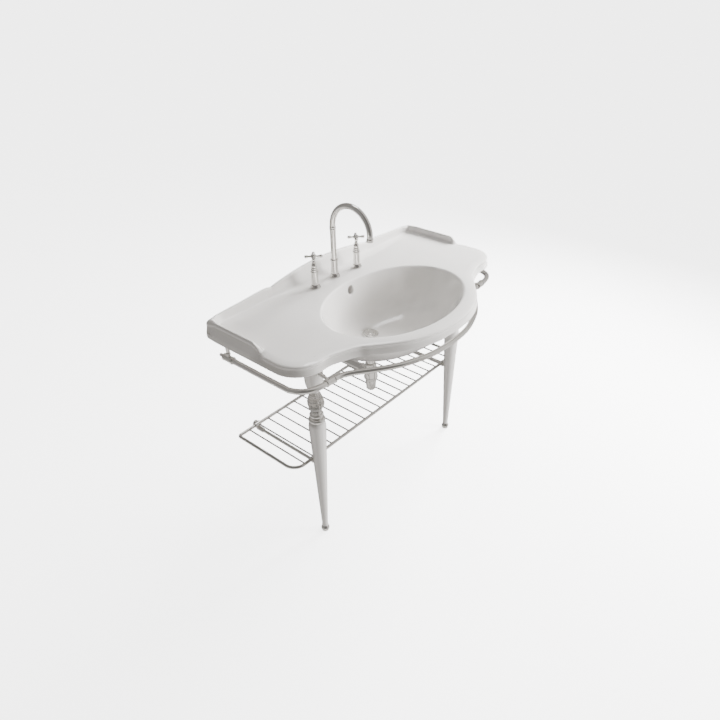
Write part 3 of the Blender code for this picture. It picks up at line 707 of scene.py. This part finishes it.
def build_basin():
    sections = [basin_section(*place) for place in outline()]
    count = len(sections[0])
    verts = [(p.x, p.y + WALL, p.z) for section in sections for p in section]
    faces = []
    for i in range(len(sections)):
        a, b = i * count, (i + 1) % len(sections) * count
        faces += [(a + k, b + k, b + (k + 1) % count, a + (k + 1) % count) for k in range(count)]
    mesh = new_mesh("basin", verts, faces)
    turn_normals_out(mesh)
    work = bpy.data.objects.new("basin_work", mesh)
    bpy.context.scene.collection.objects.link(work)
    low = (-POCKET_HALF, POCKET_FRONT_Y, DECK_Z - 0.060)
    cut(work, box(low, (POCKET_HALF, POCKET_BACK_Y, POCKET_TOP_Z)))
    for x in (-BOLT_X, BOLT_X):
        cut(work, rod((x, 0.010, BOLT_Z), (x, POCKET_BACK_Y - 0.010, BOLT_Z), BOLT_HOLE_R))
    # The overflow: a block behind the bowl's wall, a chamber in it, and an oval hole from the bowl.
    block_end = (0.022, OVERFLOW_BACK_Y + 0.003, DECK_Z - 0.034)
    cut(work, box((-0.022, -0.150, OVERFLOW_Z - 0.024), block_end), "UNION")
    cut(work, box((-0.017, -0.1435, OVERFLOW_Z - 0.020), (0.017, OVERFLOW_BACK_Y, DECK_Z - 0.012)))
    oval = rod((0, -0.175, 0), (0, -0.135, 0), OVERFLOW_HALF_WIDTH, sides=48)
    oval.transform(Matrix.Diagonal((1, 1, OVERFLOW_HALF_HEIGHT / OVERFLOW_HALF_WIDTH, 1)))
    oval.transform(Matrix.Translation((0, 0, OVERFLOW_Z)))
    cut(work, oval)
    for x, y in ((-TAP_X, TAP_Y), (0, SPOUT_Y), (TAP_X, TAP_Y)):
        cut(work, rod((x, y, DECK_Z - 0.06), (x, y, DECK_Z + 0.01), DECK_HOLE_R))
    mesh = work.data
    bpy.data.objects.remove(work)
    put("basin", mesh, weighted=False)


# Taps.


def deck_flange(node, x, y):
    profile = [
        (BORE_R, 0.0120), (0.0150, 0.0120), (0.0162, 0.0100, 0.001), (0.0172, 0.0070, 0.002),
        (0.0186, 0.0042, 0.002), (0.0199, 0.0030, 0.0012), (0.0199, 0), (BORE_R, 0),
    ]
    put(node, lathe(profile, (x, y, DECK_Z + GAP), closed=True, radius=0.0008))


def under_deck(prefix, x, y):
    """The washer and the nut that hold a tap from below."""
    top = POCKET_TOP_Z - GAP
    ring = [(BORE_R, 0), (WASHER_R, 0), (WASHER_R, -WASHER_H), (BORE_R, -WASHER_H)]
    put(prefix + "_washer", lathe(ring, (x, y, top), closed=True))
    nut = [
        (BORE_R, 0), (WASHER_R, 0), (WASHER_R, -WASHER_H),
        (0.0185, -0.0035), (0.0185, -0.0120), (BORE_R, -0.0120),
    ]
    below = top - WASHER_H - GAP
    put(prefix + "_backnut", lathe(nut, (x, y, below), closed=True, relief=hexagon(0.0170)))


def hexagon(least):
    """Relief for a nut: radii past `least` follow six flats."""

    def carve(r, z, angle):
        if r <= least or r > 0.0186:
            return r
        facet = (angle + math.pi / 6) % (math.pi / 3) - math.pi / 6
        return min(r, r * math.cos(math.pi / 6) / math.cos(facet) * 1.03)

    return carve


def pillar(node, x, y, top):
    """The body of a tap, with the shank that goes down through the deck."""
    profile = [
        (0, top), (PILLAR_R, top), (0.0141, top - 0.0014, 0.0006), (0.0141, top - 0.0050, 0.0006),
        (0.0127, top - 0.0065), (PILLAR_R, top - 0.0150, 0.004), (0.0127, 0.872, 0.01),
        (0.0136, 0.858, 0.002), (0.0140, 0.8535, 0.0005), (PILLAR_R, 0.8530),
        (PILLAR_R, SHANK_Z), (0, SHANK_Z),
    ]
    put(node, lathe(profile, (x, y, 0)))


def cross_handle(node, x, y):
    profile = [
        (0, 0.9678), (0.0070, 0.9677), (0.0088, 0.9660, 0.0015), (0.0104, 0.9630, 0.0020),
        (0.0104, 0.9572, 0.0020), (0.0078, 0.9535, 0.0020), (0.0052, 0.9500, 0.0020),
        (0.0046, 0.9440, 0.0030), (0.0062, 0.9395, 0.0015), (0.0062, 0.9363), (0.0043, 0.9363),
        (0.0043, 0.9525), (0, 0.9525),
    ]
    shells = [lathe(profile, (x, y, 0))]
    arm = [
        (0, 0.0075), (0.0046, 0.0075), (0.0038, 0.0120, 0.003), (0.0036, 0.0185, 0.003),
        (0.0050, 0.0200, 0.0006), (0.0050, 0.0215, 0.0006), (0.0040, 0.0224, 0.0005),
        (0.0056, 0.0248, 0.0012), (0.0060, 0.0272, 0.0014), (0.0055, 0.0298, 0.0012),
        (0.0028, 0.0320, 0.0010), (0, 0.0323),
    ]
    for quarter in range(4):
        angle = math.radians(45 + 90 * quarter)
        way = pointing((math.cos(angle), math.sin(angle), 0))
        shells.append(lathe(arm, (x, y, HANDLE_ARM_Z), way, segments=24))
    put(node, join(node, shells))


def build_tap(side_name, side):
    prefix = side_name + "_tap"
    x = side * TAP_X
    deck_flange(prefix + "_flange", x, TAP_Y)
    pillar(prefix + "_valve", x, TAP_Y, TAP_TOP_Z)
    under_deck(prefix, x, TAP_Y)
    bell = [
        (0.0045, 0.9360), (0.0062, 0.9358, 0.0010), (0.0076, 0.9325, 0.003), (0.0092, 0.9260, 0.004),
        (0.0095, 0.9190, 0.002), (0.0106, 0.9165, 0.0008), (0.0106, 0.9145, 0.0008), (0.0098, 0.9128, 0.0008),
        (0.0121, 0.9105, 0.001), (0.0121, 0.9053), (0.0045, 0.9053),
    ]
    put(prefix + "_bonnet", lathe(bell, (x, TAP_Y, 0), closed=True))
    stem = [(0, 0.9520), (0.0040, 0.9520), (0.0040, 0.9060), (0, 0.9060)]
    put(prefix + "_spindle", lathe(stem, (x, TAP_Y, 0), segments=32))
    cross_handle(prefix + "_handle", x, TAP_Y)
    button = [
        (0, 0.9732), (0.0030, 0.9727, 0.002), (0.0056, 0.9708, 0.002), (0.0066, 0.9690, 0.001),
        (0.0066, 0.9681), (0, 0.9681),
    ]
    put(prefix + "_cap", lathe(button, (x, TAP_Y, 0), segments=40))


def build_spout():
    deck_flange("spout_flange", 0, SPOUT_Y)
    pillar("spout_body", 0, SPOUT_Y, SPOUT_BODY_TOP_Z)
    under_deck("spout", 0, SPOUT_Y)
    route = [(0, 0, 0.9093), (0, 0, 0.925), (0, 0, 0.95), (0, 0, 0.98), (0, 0, 1.01)]
    turns = 56
    for i in range(turns + 1):
        turn = SPOUT_TURN * i / turns
        y = -SPOUT_ARCH_R + SPOUT_ARCH_R * math.cos(turn)
        route.append((0, y, SPOUT_ARCH_Z + SPOUT_ARCH_R * math.sin(turn)))
    route = [(x, y + SPOUT_Y, z) for x, y, z in route]
    put("spout_tube", sweep(route, SPOUT_R, sides=48))
    band = [
        (0.0106, 0.0060), (0.0114, 0.0058, 0.0004), (0.0117, 0.0035, 0.0006), (0.0112, 0.0008, 0.0002),
        (0.0112, -0.0008, 0.0002), (0.0117, -0.0035, 0.0006), (0.0114, -0.0058, 0.0004), (0.0106, -0.0060),
    ]
    put("spout_ring", lathe(band, (0, SPOUT_Y, SPOUT_RING_Z), closed=True, radius=0.0003))
    down = (Vector(route[-1]) - Vector(route[-2])).normalized()
    mouth = Vector(route[-1]) + down * GAP
    nozzle = [
        (0.0085, 0), (0.0112, 0), (0.0121, 0.0020, 0.001), (0.0121, 0.0120), (0.0098, 0.0120),
        (0.0092, 0.0100), (0.0085, 0.0090),
    ]
    shells = [lathe(nozzle, mouth, pointing(down), closed=True)]
    screen = [(0, 0.0086), (0.0088, 0.0086), (0.0088, 0.0068), (0, 0.0068)]
    shells.append(lathe(screen, mouth, pointing(down)))
    put("spout_aerator", join("spout_aerator", shells))


# Waste and trap.


def build_waste():
    place = (0, DRAIN_Y, 0)
    seat = [
        (0.0232, 0.6562), (0.0262, 0.6566, 0.001), (0.0292, 0.6562, 0.001), (0.0318, 0.6545, 0.001),
        (0.0320, 0.6523, 0.0003), (0.0226, 0.6523), (0.0226, 0.5720), (0.0185, 0.5720), (0.0185, 0.6535),
        (0.0232, 0.6535),
    ]
    shells = [lathe(seat, place, closed=True, segments=72)]
    for dx, dy in ((CROSS_HALF, 0), (0, CROSS_HALF)):
        shells.append(rod((-dx, DRAIN_Y - dy, CROSS_Z), (dx, DRAIN_Y + dy, CROSS_Z), 0.0022, sides=16))
    put("waste_flange", join("waste_flange", shells))
    head = [
        (0, 0.6588), (0.0060, 0.6590, 0.002), (0.0100, 0.6595, 0.001), (0.0125, 0.6590, 0.001),
        (0.0140, 0.6578, 0.001), (0.0190, 0.6578, 0.001), (0.0215, 0.6574, 0.001), (0.0228, 0.6560, 0.0008),
        (0.0228, 0.6538), (0.0050, 0.6538), (0.0050, 0.5850), (0, 0.5850),
    ]
    put("waste_plug", lathe(head, place, segments=72))
    ring = [(0.0230, 0.6357), (0.0340, 0.6357), (0.0340, 0.6327), (0.0230, 0.6327)]
    put("waste_gasket", lathe(ring, place, closed=True))
    nut = [
        (0.0230, 0.6324), (0.0340, 0.6324), (0.0340, 0.6290), (0.0290, 0.6280), (0.0290, 0.6187),
        (0.0230, 0.6187),
    ]
    put("waste_backnut", lathe(nut, place, closed=True))
    tail = [
        (0.0135, 0.5717), (0.0225, 0.5717), (0.0225, 0.5580, 0.001), (0.0160, 0.5560), (0.0160, 0.4750),
        (0.0135, 0.4750),
    ]
    put("tailpiece", lathe(tail, place, closed=True))


def grooved(count, depth, low, high):
    """Relief of shallow upright flutes between two heights."""

    def carve(r, z, angle):
        if z < low or z > high:
            return r
        fade = min(1.0, (z - low) / 0.004, (high - z) / 0.004)
        return r - depth * fade * (0.5 - 0.5 * math.cos(angle * count)) ** 3

    return carve


def build_trap():
    place = (0, DRAIN_Y, 0)
    nut = [
        (0.0163, 0.5220), (0.0200, 0.5220, 0.001), (0.0225, 0.5190, 0.001), (0.0225, 0.5000),
        (0.0163, 0.5000),
    ]
    flutes = grooved(12, 0.0012, 0.5005, 0.5195)
    put("trap_inlet_nut", lathe(nut, place, closed=True, segments=96, relief=flutes))
    shell = [
        (0.0185, 0.4997), (0.0255, 0.4997, 0.001), (0.0274, 0.4975, 0.0015), (0.0274, 0.4930, 0.001),
        (0.0262, 0.4915), (0.0262, 0.4610), (0.0274, 0.4600, 0.001), (0.0274, 0.4555, 0.0015),
        (0.0262, 0.4535), (0.0185, 0.4535),
    ]
    bodies = [lathe(shell, place, closed=True, segments=72)]
    spur = [(0.0165, 0), (0.0190, 0), (0.0190, 0.0200), (0.0200, 0.0205), (0.0200, 0.0250), (0.0165, 0.0250)]
    bodies.append(lathe(spur, (0, DRAIN_Y + 0.0230, OUTLET_Z), TO_WALL, closed=True))
    put("trap_body", join("trap_body", bodies))
    cup = [
        (0, 0.4020), (0.0130, 0.4030), (0.0165, 0.4100), (0.0200, 0.4480), (0.0200, 0.4532),
        (0.0228, 0.4532, 0.0008), (0.0234, 0.4505, 0.0008), (0.0228, 0.4478, 0.0006),
        (0.0222, 0.4465, 0.0006), (0.0194, 0.4120, 0.003), (0.0182, 0.4040, 0.003), (0.0135, 0.3985, 0.003),
        (0, 0.3975),
    ]
    flutes = grooved(16, 0.0014, 0.4050, 0.4460)

    def outside(r, z, angle):
        return flutes(r, z, angle) if r > 0.0142 + (z - 0.403) * 0.12 else r

    put("trap_cup", lathe(cup, place, segments=128, relief=outside))
    pipe = [(0.0135, 0), (0.0160, 0), (0.0160, -0.2140), (0.0135, -0.2140)]
    put("trap_outlet_pipe", lathe(pipe, (0, 0, OUTLET_Z), TO_WALL, closed=True))
    plate = [
        (0.0163, 0), (0.0350, 0), (0.0350, -0.0015, 0.0008), (0.0300, -0.0050, 0.003),
        (0.0200, -0.0078, 0.003), (0.0180, -0.0100, 0.001), (0.0163, -0.0100),
    ]
    put("wall_escutcheon", lathe(plate, (0, 0, OUTLET_Z), TO_WALL, closed=True, segments=72))


# Legs.

PETALS = 5
PETAL_TURN = math.radians(219)
VASE_LOW = 0.5835
VASE_HIGH = 0.6590
PETAL_RIM = 0.0008
PETAL_HOLLOW = 0.0026
PETAL_GAP = 0.0012


def lotus(r, z, angle):
    """Relief of a lotus bud: pointed petals, tips up, each with a raised rim and a hollow face."""
    if r < 0.008 or z < VASE_LOW:
        return r
    share = min(1.0, (z - VASE_LOW) / (VASE_HIGH - VASE_LOW))
    turn = ((angle - PETAL_TURN) / math.tau * PETALS + 0.5) % 1.0 - 0.5
    half = 0.5 * math.sqrt(max(0.0, 1 - share**1.6))
    edge = half - abs(turn)
    if edge < 0:
        return r - PETAL_GAP * min(1.0, -edge / 0.08)
    rim = math.exp(-((edge - 0.05) ** 2) / 0.0020)
    return r + PETAL_RIM * rim - PETAL_HOLLOW * smooth_step((edge - 0.10) / 0.08)


def build_leg(side_name, side):
    prefix = side_name + "_leg"
    place = (side * LEG_X, LEG_Y, 0)
    foot = [
        (0, 0.0265), (0.0100, 0.0265), (0.0108, 0.0240, 0.001), (0.0130, 0.0220, 0.002),
        (0.0158, 0.0160, 0.003), (0.0160, 0.0110, 0.003), (0.0140, 0.0045, 0.002), (0.0125, 0, 0.0008),
        (0, 0),
    ]
    put(prefix + "_foot", lathe(foot, place, segments=64))
    shaft = [
        (0, 0.5335), (0.0225, 0.5335, 0.001), (0.0262, 0.5315, 0.002), (0.0290, 0.5270, 0.003),
        (0.0306, 0.5170, 0.006), (0.0113, 0.0330, 0.002), (0.0126, 0.0290, 0.0012), (0.0118, 0.0268, 0.0008),
        (0, 0.0268),
    ]
    put(prefix + "_shaft", lathe(shaft, place, segments=72))
    collar = [
        (0, 0.5775), (0.0165, 0.5775, 0.0008), (0.0180, 0.5760, 0.0010), (0.0175, 0.5730, 0.0010),
        (0.0215, 0.5705, 0.002), (0.0245, 0.5665, 0.002), (0.0245, 0.5610, 0.002), (0.0215, 0.5575, 0.002),
        (0.0195, 0.5560, 0.001), (0.0195, 0.5540, 0.001), (0.0240, 0.5520, 0.002), (0.0278, 0.5490, 0.002),
        (0.0292, 0.5440, 0.003), (0.0282, 0.5390, 0.002), (0.0255, 0.5355, 0.002), (0.0235, 0.5338, 0.0005),
        (0, 0.5338),
    ]
    put(prefix + "_collar", lathe(collar, place, segments=72))
    outline_points = (
        (0.0150, 0.6597), (0.0175, 0.6535), (0.0208, 0.6440), (0.0250, 0.6310), (0.0280, 0.6190),
        (0.0293, 0.6085), (0.0278, 0.5975), (0.0240, 0.5890), (0.0200, 0.5835), (0.0178, 0.5800),
        (0.0178, 0.5778),
    )
    profile = [(0, 0.6597)] + catmull(outline_points, 6) + [(0, 0.5778)]
    put(prefix + "_vase", lathe(profile, place, segments=192, radius=0, relief=lotus), weighted=False)
    top = DECK_Z - APRON_H - GAP
    capital = [
        (0, top), (0.0338, top), (0.0340, top - 0.004, 0.001), (0.0322, top - 0.010, 0.004),
        (0.0318, 0.7300, 0.01), (0.0310, 0.7050, 0.008), (0.0288, 0.6890, 0.006), (0.0245, 0.6755, 0.006),
        (0.0185, 0.6665, 0.003), (0.0167, 0.6630, 0.001), (0.0165, 0.6600, 0.0005), (0, 0.6600),
    ]
    put(prefix + "_capital", lathe(capital, place, segments=72))


# Towel rail.


def rail_route():
    start = (RAIL_X, RAIL_END_Y, RAIL_Z)
    plan = ((RAIL_X, -0.343), (0.5385, -0.3910), (0.5140, -0.4270), (0.4700, -0.4440), (0.4200, -0.4470))
    plan += ((0.3850, -0.4515), (0.3500, -0.4695), (0.3000, -0.5070), (0.2500, -0.5410), (0.1950, -0.5690))
    plan += ((0.1000, -0.5990), (0, -0.6070))
    right = catmull([start] + [(x, y, RAIL_Z) for x, y in plan], 9)
    return right + [(-x, y, z) for x, y, z in reversed(right[:-1])]


def build_rear_bracket(side_name, side):
    node = side_name + "_rear_bracket"
    x = side * RAIL_X
    profile = [
        (0.0098, -0.0260), (0.0120, -0.0260, 0.0005), (0.0131, -0.0245, 0.0010), (0.0131, -0.0205, 0.0010),
        (0.0118, -0.0190, 0.0010), (0.0118, 0.0150, 0.0005), (0.0126, 0.0165, 0.0006),
        (0.0126, 0.0195, 0.0006), (0.0108, 0.0215, 0.001), (0.0085, 0.0250, 0.0015), (0, 0.0250), (0, 0.0192),
        (0.0098, 0.0192),
    ]
    shells = [lathe(profile, (x, RAIL_COLLAR_Y, RAIL_Z), TO_WALL, segments=48)]
    top = DECK_Z - APRON_H - GAP
    post = [
        (0, top - 0.0002), (0.0088, top - 0.0002), (0.0088, top - 0.0030, 0.0008),
        (0.0068, top - 0.0050, 0.001), (0.0062, RAIL_Z + 0.026, 0.003), (0.0080, RAIL_Z + 0.0215, 0.001),
        (0.0080, RAIL_Z + 0.0185, 0.001), (0.0062, RAIL_Z + 0.0155, 0.001), (0.0068, RAIL_Z + 0.0108),
        (0, RAIL_Z + 0.0108),
    ]
    shells.append(lathe(post, (x, POST_Y, 0), segments=40))
    neck = [(0, 0), (0.0046, 0, 0.0004), (0.0030, 0.0040, 0.001), (0.0030, 0.0070, 0.001), (0, 0.0070)]
    shells.append(lathe(neck, (x, FINIAL_NECK_Y, RAIL_Z), TO_WALL, segments=28))
    shells.append(ball((x, FINIAL_Y, RAIL_Z), 0.0059, (0, 1, 0)))
    put(node, join(node, shells))


def build_front_bracket(side_name, side):
    node = side_name + "_front_bracket"
    centre = Vector((side * FRONT_BRACKET_X, FRONT_BRACKET_Y, RAIL_Z))
    along = Vector((0.035, side * 0.0026, 0)).normalized()
    half = [(0.0098, 0.0190), (0.0118, 0.0190, 0.0005), (0.0131, 0.0178, 0.0010), (0.0131, 0.0150, 0.0010)]
    half += [(0.0118, 0.0132, 0.0010)]
    profile = half + [(r, -z, *rest) for r, z, *rest in reversed(half)]
    shells = [lathe(profile, centre, pointing(along), closed=True, segments=48)]
    leg = Vector((side * LEG_X, LEG_Y, ARM_ROOT_Z))
    root = leg.lerp(centre, 0.33)
    reach = (centre - root).length
    arm = [
        (0, 0), (0.0098, 0, 0.0005), (0.0098, 0.0030, 0.001), (0.0070, 0.0046, 0.001),
        (0.0060, 0.0058, 0.001), (0.0088, 0.0092, 0.003), (0.0088, 0.0140, 0.003), (0.0058, 0.0175, 0.001),
        (0.0054, 0.0225, 0.002), (0.0072, 0.0265, 0.002), (0.0072, 0.0315, 0.002), (0.0054, 0.0355, 0.001),
        (0.0052, reach - 0.0165, 0.001), (0.0068, reach - 0.0138, 0.001), (0.0068, reach - 0.0104),
        (0, reach - 0.0104),
    ]
    shells.append(lathe(arm, root, pointing(centre - root), segments=36))
    put(node, join(node, shells))


# Shelf.


def build_rack():
    corner_x = SHELF_HALF - SHELF_CORNER_R
    corner_y = SHELF_FRONT_Y + SHELF_CORNER_R
    small = 0.010
    plan = [(-SHELF_HALF + small, SHELF_BACK_Y)]
    plan += straight((-SHELF_HALF + small, SHELF_BACK_Y), (SHELF_HALF - small, SHELF_BACK_Y), 0.03)
    plan += arc((SHELF_HALF - small, SHELF_BACK_Y - small), small, 90, 0, 8)
    plan += straight((SHELF_HALF, SHELF_BACK_Y - small), (SHELF_HALF, corner_y), 0.03)
    plan += arc((corner_x, corner_y), SHELF_CORNER_R, 0, -90, 16)
    plan += straight((corner_x, SHELF_FRONT_Y), (-corner_x, SHELF_FRONT_Y), 0.03)
    plan += arc((-corner_x, corner_y), SHELF_CORNER_R, -90, -180, 16)
    plan += straight((-SHELF_HALF, corner_y), (-SHELF_HALF, SHELF_BACK_Y - small), 0.03)
    plan += arc((-SHELF_HALF + small, SHELF_BACK_Y - small), small, 180, 90, 8)[:-1]
    shells = [sweep([(x, y, SHELF_Z) for x, y in plan], FRAME_R, sides=24, cyclic=True)]
    for i in range(WIRES):
        x = (i - (WIRES - 1) / 2) * WIRE_PITCH
        shells.append(sweep([(x, SHELF_BACK_Y, SHELF_Z), (x, SHELF_FRONT_Y, SHELF_Z)], WIRE_R, sides=16))
    put("shelf_rack", join("shelf_rack", shells), finish="shelf_nickel")


def build_shelf_support(side_name, side):
    prefix = side_name + "_shelf"
    x = side * LEG_X
    plate = [
        (0, 0), (0.0125, 0), (0.0125, 0.0030, 0.001), (0.0100, 0.0060, 0.001), (0.0080, 0.0075, 0.001),
        (0, 0.0075),
    ]
    shells = [lathe(plate, (x, 0, SHELF_Z), pointing((0, -1, 0)), segments=40)]
    sleeve = [(0.0062, 0.0135), (0.0090, 0.0135, 0.0005), (0.0104, 0.0120, 0.001), (0.0104, -0.0120, 0.001)]
    sleeve += [(0.0090, -0.0135, 0.0005), (0.0062, -0.0135)]
    shells.append(lathe(sleeve, (x, SHELF_BACK_Y, SHELF_Z), pointing((1, 0, 0)), closed=True, segments=40))
    cup = [
        (0, 0), (0.0088, 0, 0.001), (0.0088, 0.0300, 0.001), (0.0078, 0.0335, 0.0008), (0.0062, 0.0335),
        (0.0062, 0.0080), (0, 0.0080),
    ]
    shells.append(lathe(cup, (x, SHELF_BACK_Y - 0.001, ARM_Z), pointing((0, -1, 0)), segments=36))
    put(prefix + "_wall_bracket", join(prefix, shells))
    put(prefix + "_arm", rod((x, ARM_START_Y, ARM_Z), (x, ARM_END_Y, ARM_Z), ARM_R, sides=36))
    clamp = [(0.0062, 0.0100), (0.0072, 0.0100, 0.0005), (0.0082, 0.0080, 0.001), (0.0082, -0.0080, 0.001)]
    clamp += [(0.0072, -0.0100, 0.0005), (0.0062, -0.0100)]
    shells = [lathe(clamp, (x, SHELF_FRONT_Y, SHELF_Z), pointing((1, 0, 0)), closed=True, segments=36)]
    sock = [(0.0062, 0.2980), (0.0078, 0.2980, 0.0006), (0.0090, 0.3000, 0.001), (0.0090, 0.3180, 0.001)]
    sock += [(0.0078, 0.3205, 0.0006), (0.0062, 0.3205)]
    shells.append(lathe(sock, (x, 0, ARM_Z), pointing((0, -1, 0)), closed=True, segments=36))
    put(prefix + "_clamp", join(prefix, shells))


def build_wall_bolt(side_name, side):
    profile = [
        (0, 0), (0.0050, 0), (0.0050, -0.0223), (0.0090, -0.0223), (0.0090, -0.0240), (0.0079, -0.0242),
        (0.0079, -0.0290, 0.001), (0.0070, -0.0300), (0, -0.0300),
    ]
    put(side_name + "_wall_bolt", lathe(profile, (side * BOLT_X, 0, BOLT_Z), TO_WALL, segments=36))


for side_name, side in SIDES:
    build_tap(side_name, side)
    build_leg(side_name, side)
    build_rear_bracket(side_name, side)
    build_front_bracket(side_name, side)
    build_shelf_support(side_name, side)
    build_wall_bolt(side_name, side)
build_basin()
build_spout()
build_waste()
build_trap()
put("towel_rail", sweep(rail_route(), RAIL_R, sides=40))
build_rack()


# Stage, lights and camera.


DOME_R = 80.0
DOME_SIDES = 48
DOME_ROWS = 10
FLOOR_GLOW = 4.0
HORIZON_FADE = (-0.50, -0.22)
CAMERA_PLACE = (-1.5446, -1.2571, 1.8500)
CAMERA_RIGHT = (0.6517, -0.7583, -0.0199)
CAMERA_AHEAD = (0.6148, 0.5434, -0.5717)

# Grey levels round the horizon: share of a turn from -X through -Y, and the level.
BELOW_HORIZON = (
    (0.00, 1.15),
    (0.04, 0.50),
    (0.08, 1.25),
    (0.26, 1.25),
    (0.30, 0.35),
    (0.34, 1.30),
    (0.45, 1.30),
    (0.54, 0.60),
    (0.61, 0.22),
    (0.74, 0.26),
    (0.82, 0.80),
    (0.92, 1.20),
    (1.00, 1.15),
)
ABOVE_HORIZON = (
    (0.00, 0.34),
    (0.10, 0.22),
    (0.24, 0.26),
    (0.31, 0.95),
    (0.42, 1.10),
    (0.52, 0.70),
    (0.62, 0.62),
    (0.70, 0.34),
    (0.90, 0.36),
    (1.00, 0.34),
)


def build_floor():
    """A pale round floor that runs into a dome of the same paint, like an endless studio wall."""
    verts, faces = [(0, 0, 0)], []
    for row in range(DOME_ROWS):
        rise = 0.5 * math.pi * row / DOME_ROWS
        for i in range(DOME_SIDES):
            turn = math.tau * i / DOME_SIDES
            reach = DOME_R * math.cos(rise)
            verts.append((reach * math.cos(turn), reach * math.sin(turn), DOME_R * math.sin(rise)))
    verts.append((0, 0, DOME_R))
    for i in range(DOME_SIDES):
        after = (i + 1) % DOME_SIDES
        faces.append((0, 1 + i, 1 + after))
        for row in range(DOME_ROWS - 1):
            a = 1 + row * DOME_SIDES
            faces.append((a + after, a + i, a + DOME_SIDES + i, a + DOME_SIDES + after))
        last = 1 + (DOME_ROWS - 1) * DOME_SIDES
        faces.append((last + after, last + i, len(verts) - 1))
    mesh = new_mesh("floor", verts, faces)
    made, tree, shader = new_material("floor_look")
    colour = spread_colour(tree, noise(tree, 3.0), (0.88, 0.88, 0.88), (0.90, 0.90, 0.90))
    tree.links.new(colour, shader.inputs["Base Color"])
    shader.inputs["Roughness"].default_value = 0.9
    shader.inputs["Specular IOR Level"].default_value = 0.0
    shader.inputs["Emission Color"].default_value = (1, 1, 1, 1)
    shader.inputs["Emission Strength"].default_value = FLOOR_GLOW
    floor = bpy.data.objects.new("studio_floor", mesh)
    mesh.materials.append(made)
    bpy.context.scene.collection.objects.link(floor)
    floor.visible_diffuse = False
    floor.visible_glossy = False
    floor.visible_shadow = False


def area_light(name, place, target, size, power, reflected=False):
    light = bpy.data.lights.new(name, "AREA")
    light.shape = "RECTANGLE"
    light.size, light.size_y = size
    light.energy = power
    made = bpy.data.objects.new(name, light)
    made.visible_glossy = reflected
    made.location = place
    made.rotation_euler = (Vector(target) - Vector(place)).to_track_quat("-Z", "Y").to_euler()
    bpy.context.scene.collection.objects.link(made)


def panorama(tree, turn, stops):
    """Grey levels round the horizon, one full turn from -X through -Y, +X and +Y."""
    ramp = tree.nodes.new("ShaderNodeValToRGB")
    elements = ramp.color_ramp.elements
    while len(elements) < len(stops):
        elements.new(0.5)
    for element, (spot, grey) in zip(elements, stops):
        element.position = spot
        element.color = (grey, grey * 0.97, grey * 0.935, 1)
    tree.links.new(turn, ramp.inputs["Fac"])
    return ramp.outputs["Color"]


def build_world():
    """A pale studio: a lighter half below the horizon, darker towards the wall and behind the basin."""
    world = bpy.data.worlds.new("studio")
    bpy.context.scene.world = world
    world.use_nodes = True
    tree = world.node_tree
    place = tree.nodes.new("ShaderNodeTexCoord")
    split = tree.nodes.new("ShaderNodeSeparateXYZ")
    tree.links.new(place.outputs["Generated"], split.inputs["Vector"])
    azimuth = tree.nodes.new("ShaderNodeMath")
    azimuth.operation = "ARCTAN2"
    tree.links.new(split.outputs["Y"], azimuth.inputs[0])
    tree.links.new(split.outputs["X"], azimuth.inputs[1])
    turn = spread_value(tree, azimuth.outputs["Value"], 0.0, 1.0, -math.pi, math.pi)
    below = panorama(tree, turn, BELOW_HORIZON)
    above = panorama(tree, turn, ABOVE_HORIZON)
    raised = spread_value(tree, split.outputs["Z"], 0.0, 1.0, *HORIZON_FADE)
    mix = tree.nodes.new("ShaderNodeMix")
    mix.data_type = "RGBA"
    tree.links.new(raised, mix.inputs["Factor"])
    tree.links.new(below, mix.inputs[6])
    tree.links.new(above, mix.inputs[7])
    tree.links.new(mix.outputs[2], tree.nodes["Background"].inputs["Color"])
    tree.nodes["Background"].inputs["Strength"].default_value = 1.0


def build_camera():
    camera = bpy.data.cameras.new("photo_view")
    camera.lens = 31.2
    camera.sensor_width = 36.0
    camera.shift_x = -0.0045
    camera.shift_y = 0.030
    camera.clip_end = 1000
    made = bpy.data.objects.new("photo_view", camera)
    right = Vector(CAMERA_RIGHT)
    ahead = Vector(CAMERA_AHEAD).normalized()
    right = (right - ahead * right.dot(ahead)).normalized()
    up = right.cross(ahead)
    turn = Matrix((right, up, -ahead)).transposed().to_4x4()
    made.matrix_world = Matrix.Translation(CAMERA_PLACE) @ turn
    bpy.context.scene.collection.objects.link(made)
    bpy.context.scene.camera = made


build_floor()
build_world()
area_light("key_softbox", (2.1, 0.0, 1.80), (0, 0, 0.8), (1.2, 0.9), 250)
area_light("front_softbox", (1.5, -1.9, 0.95), (0.2, 0, 0.7), (1.0, 1.0), 120)
area_light("glint_softbox", (0.73, 0.66, 2.80), (0, 0, 0.84), (0.7, 0.7), 11, reflected=True)
build_camera()
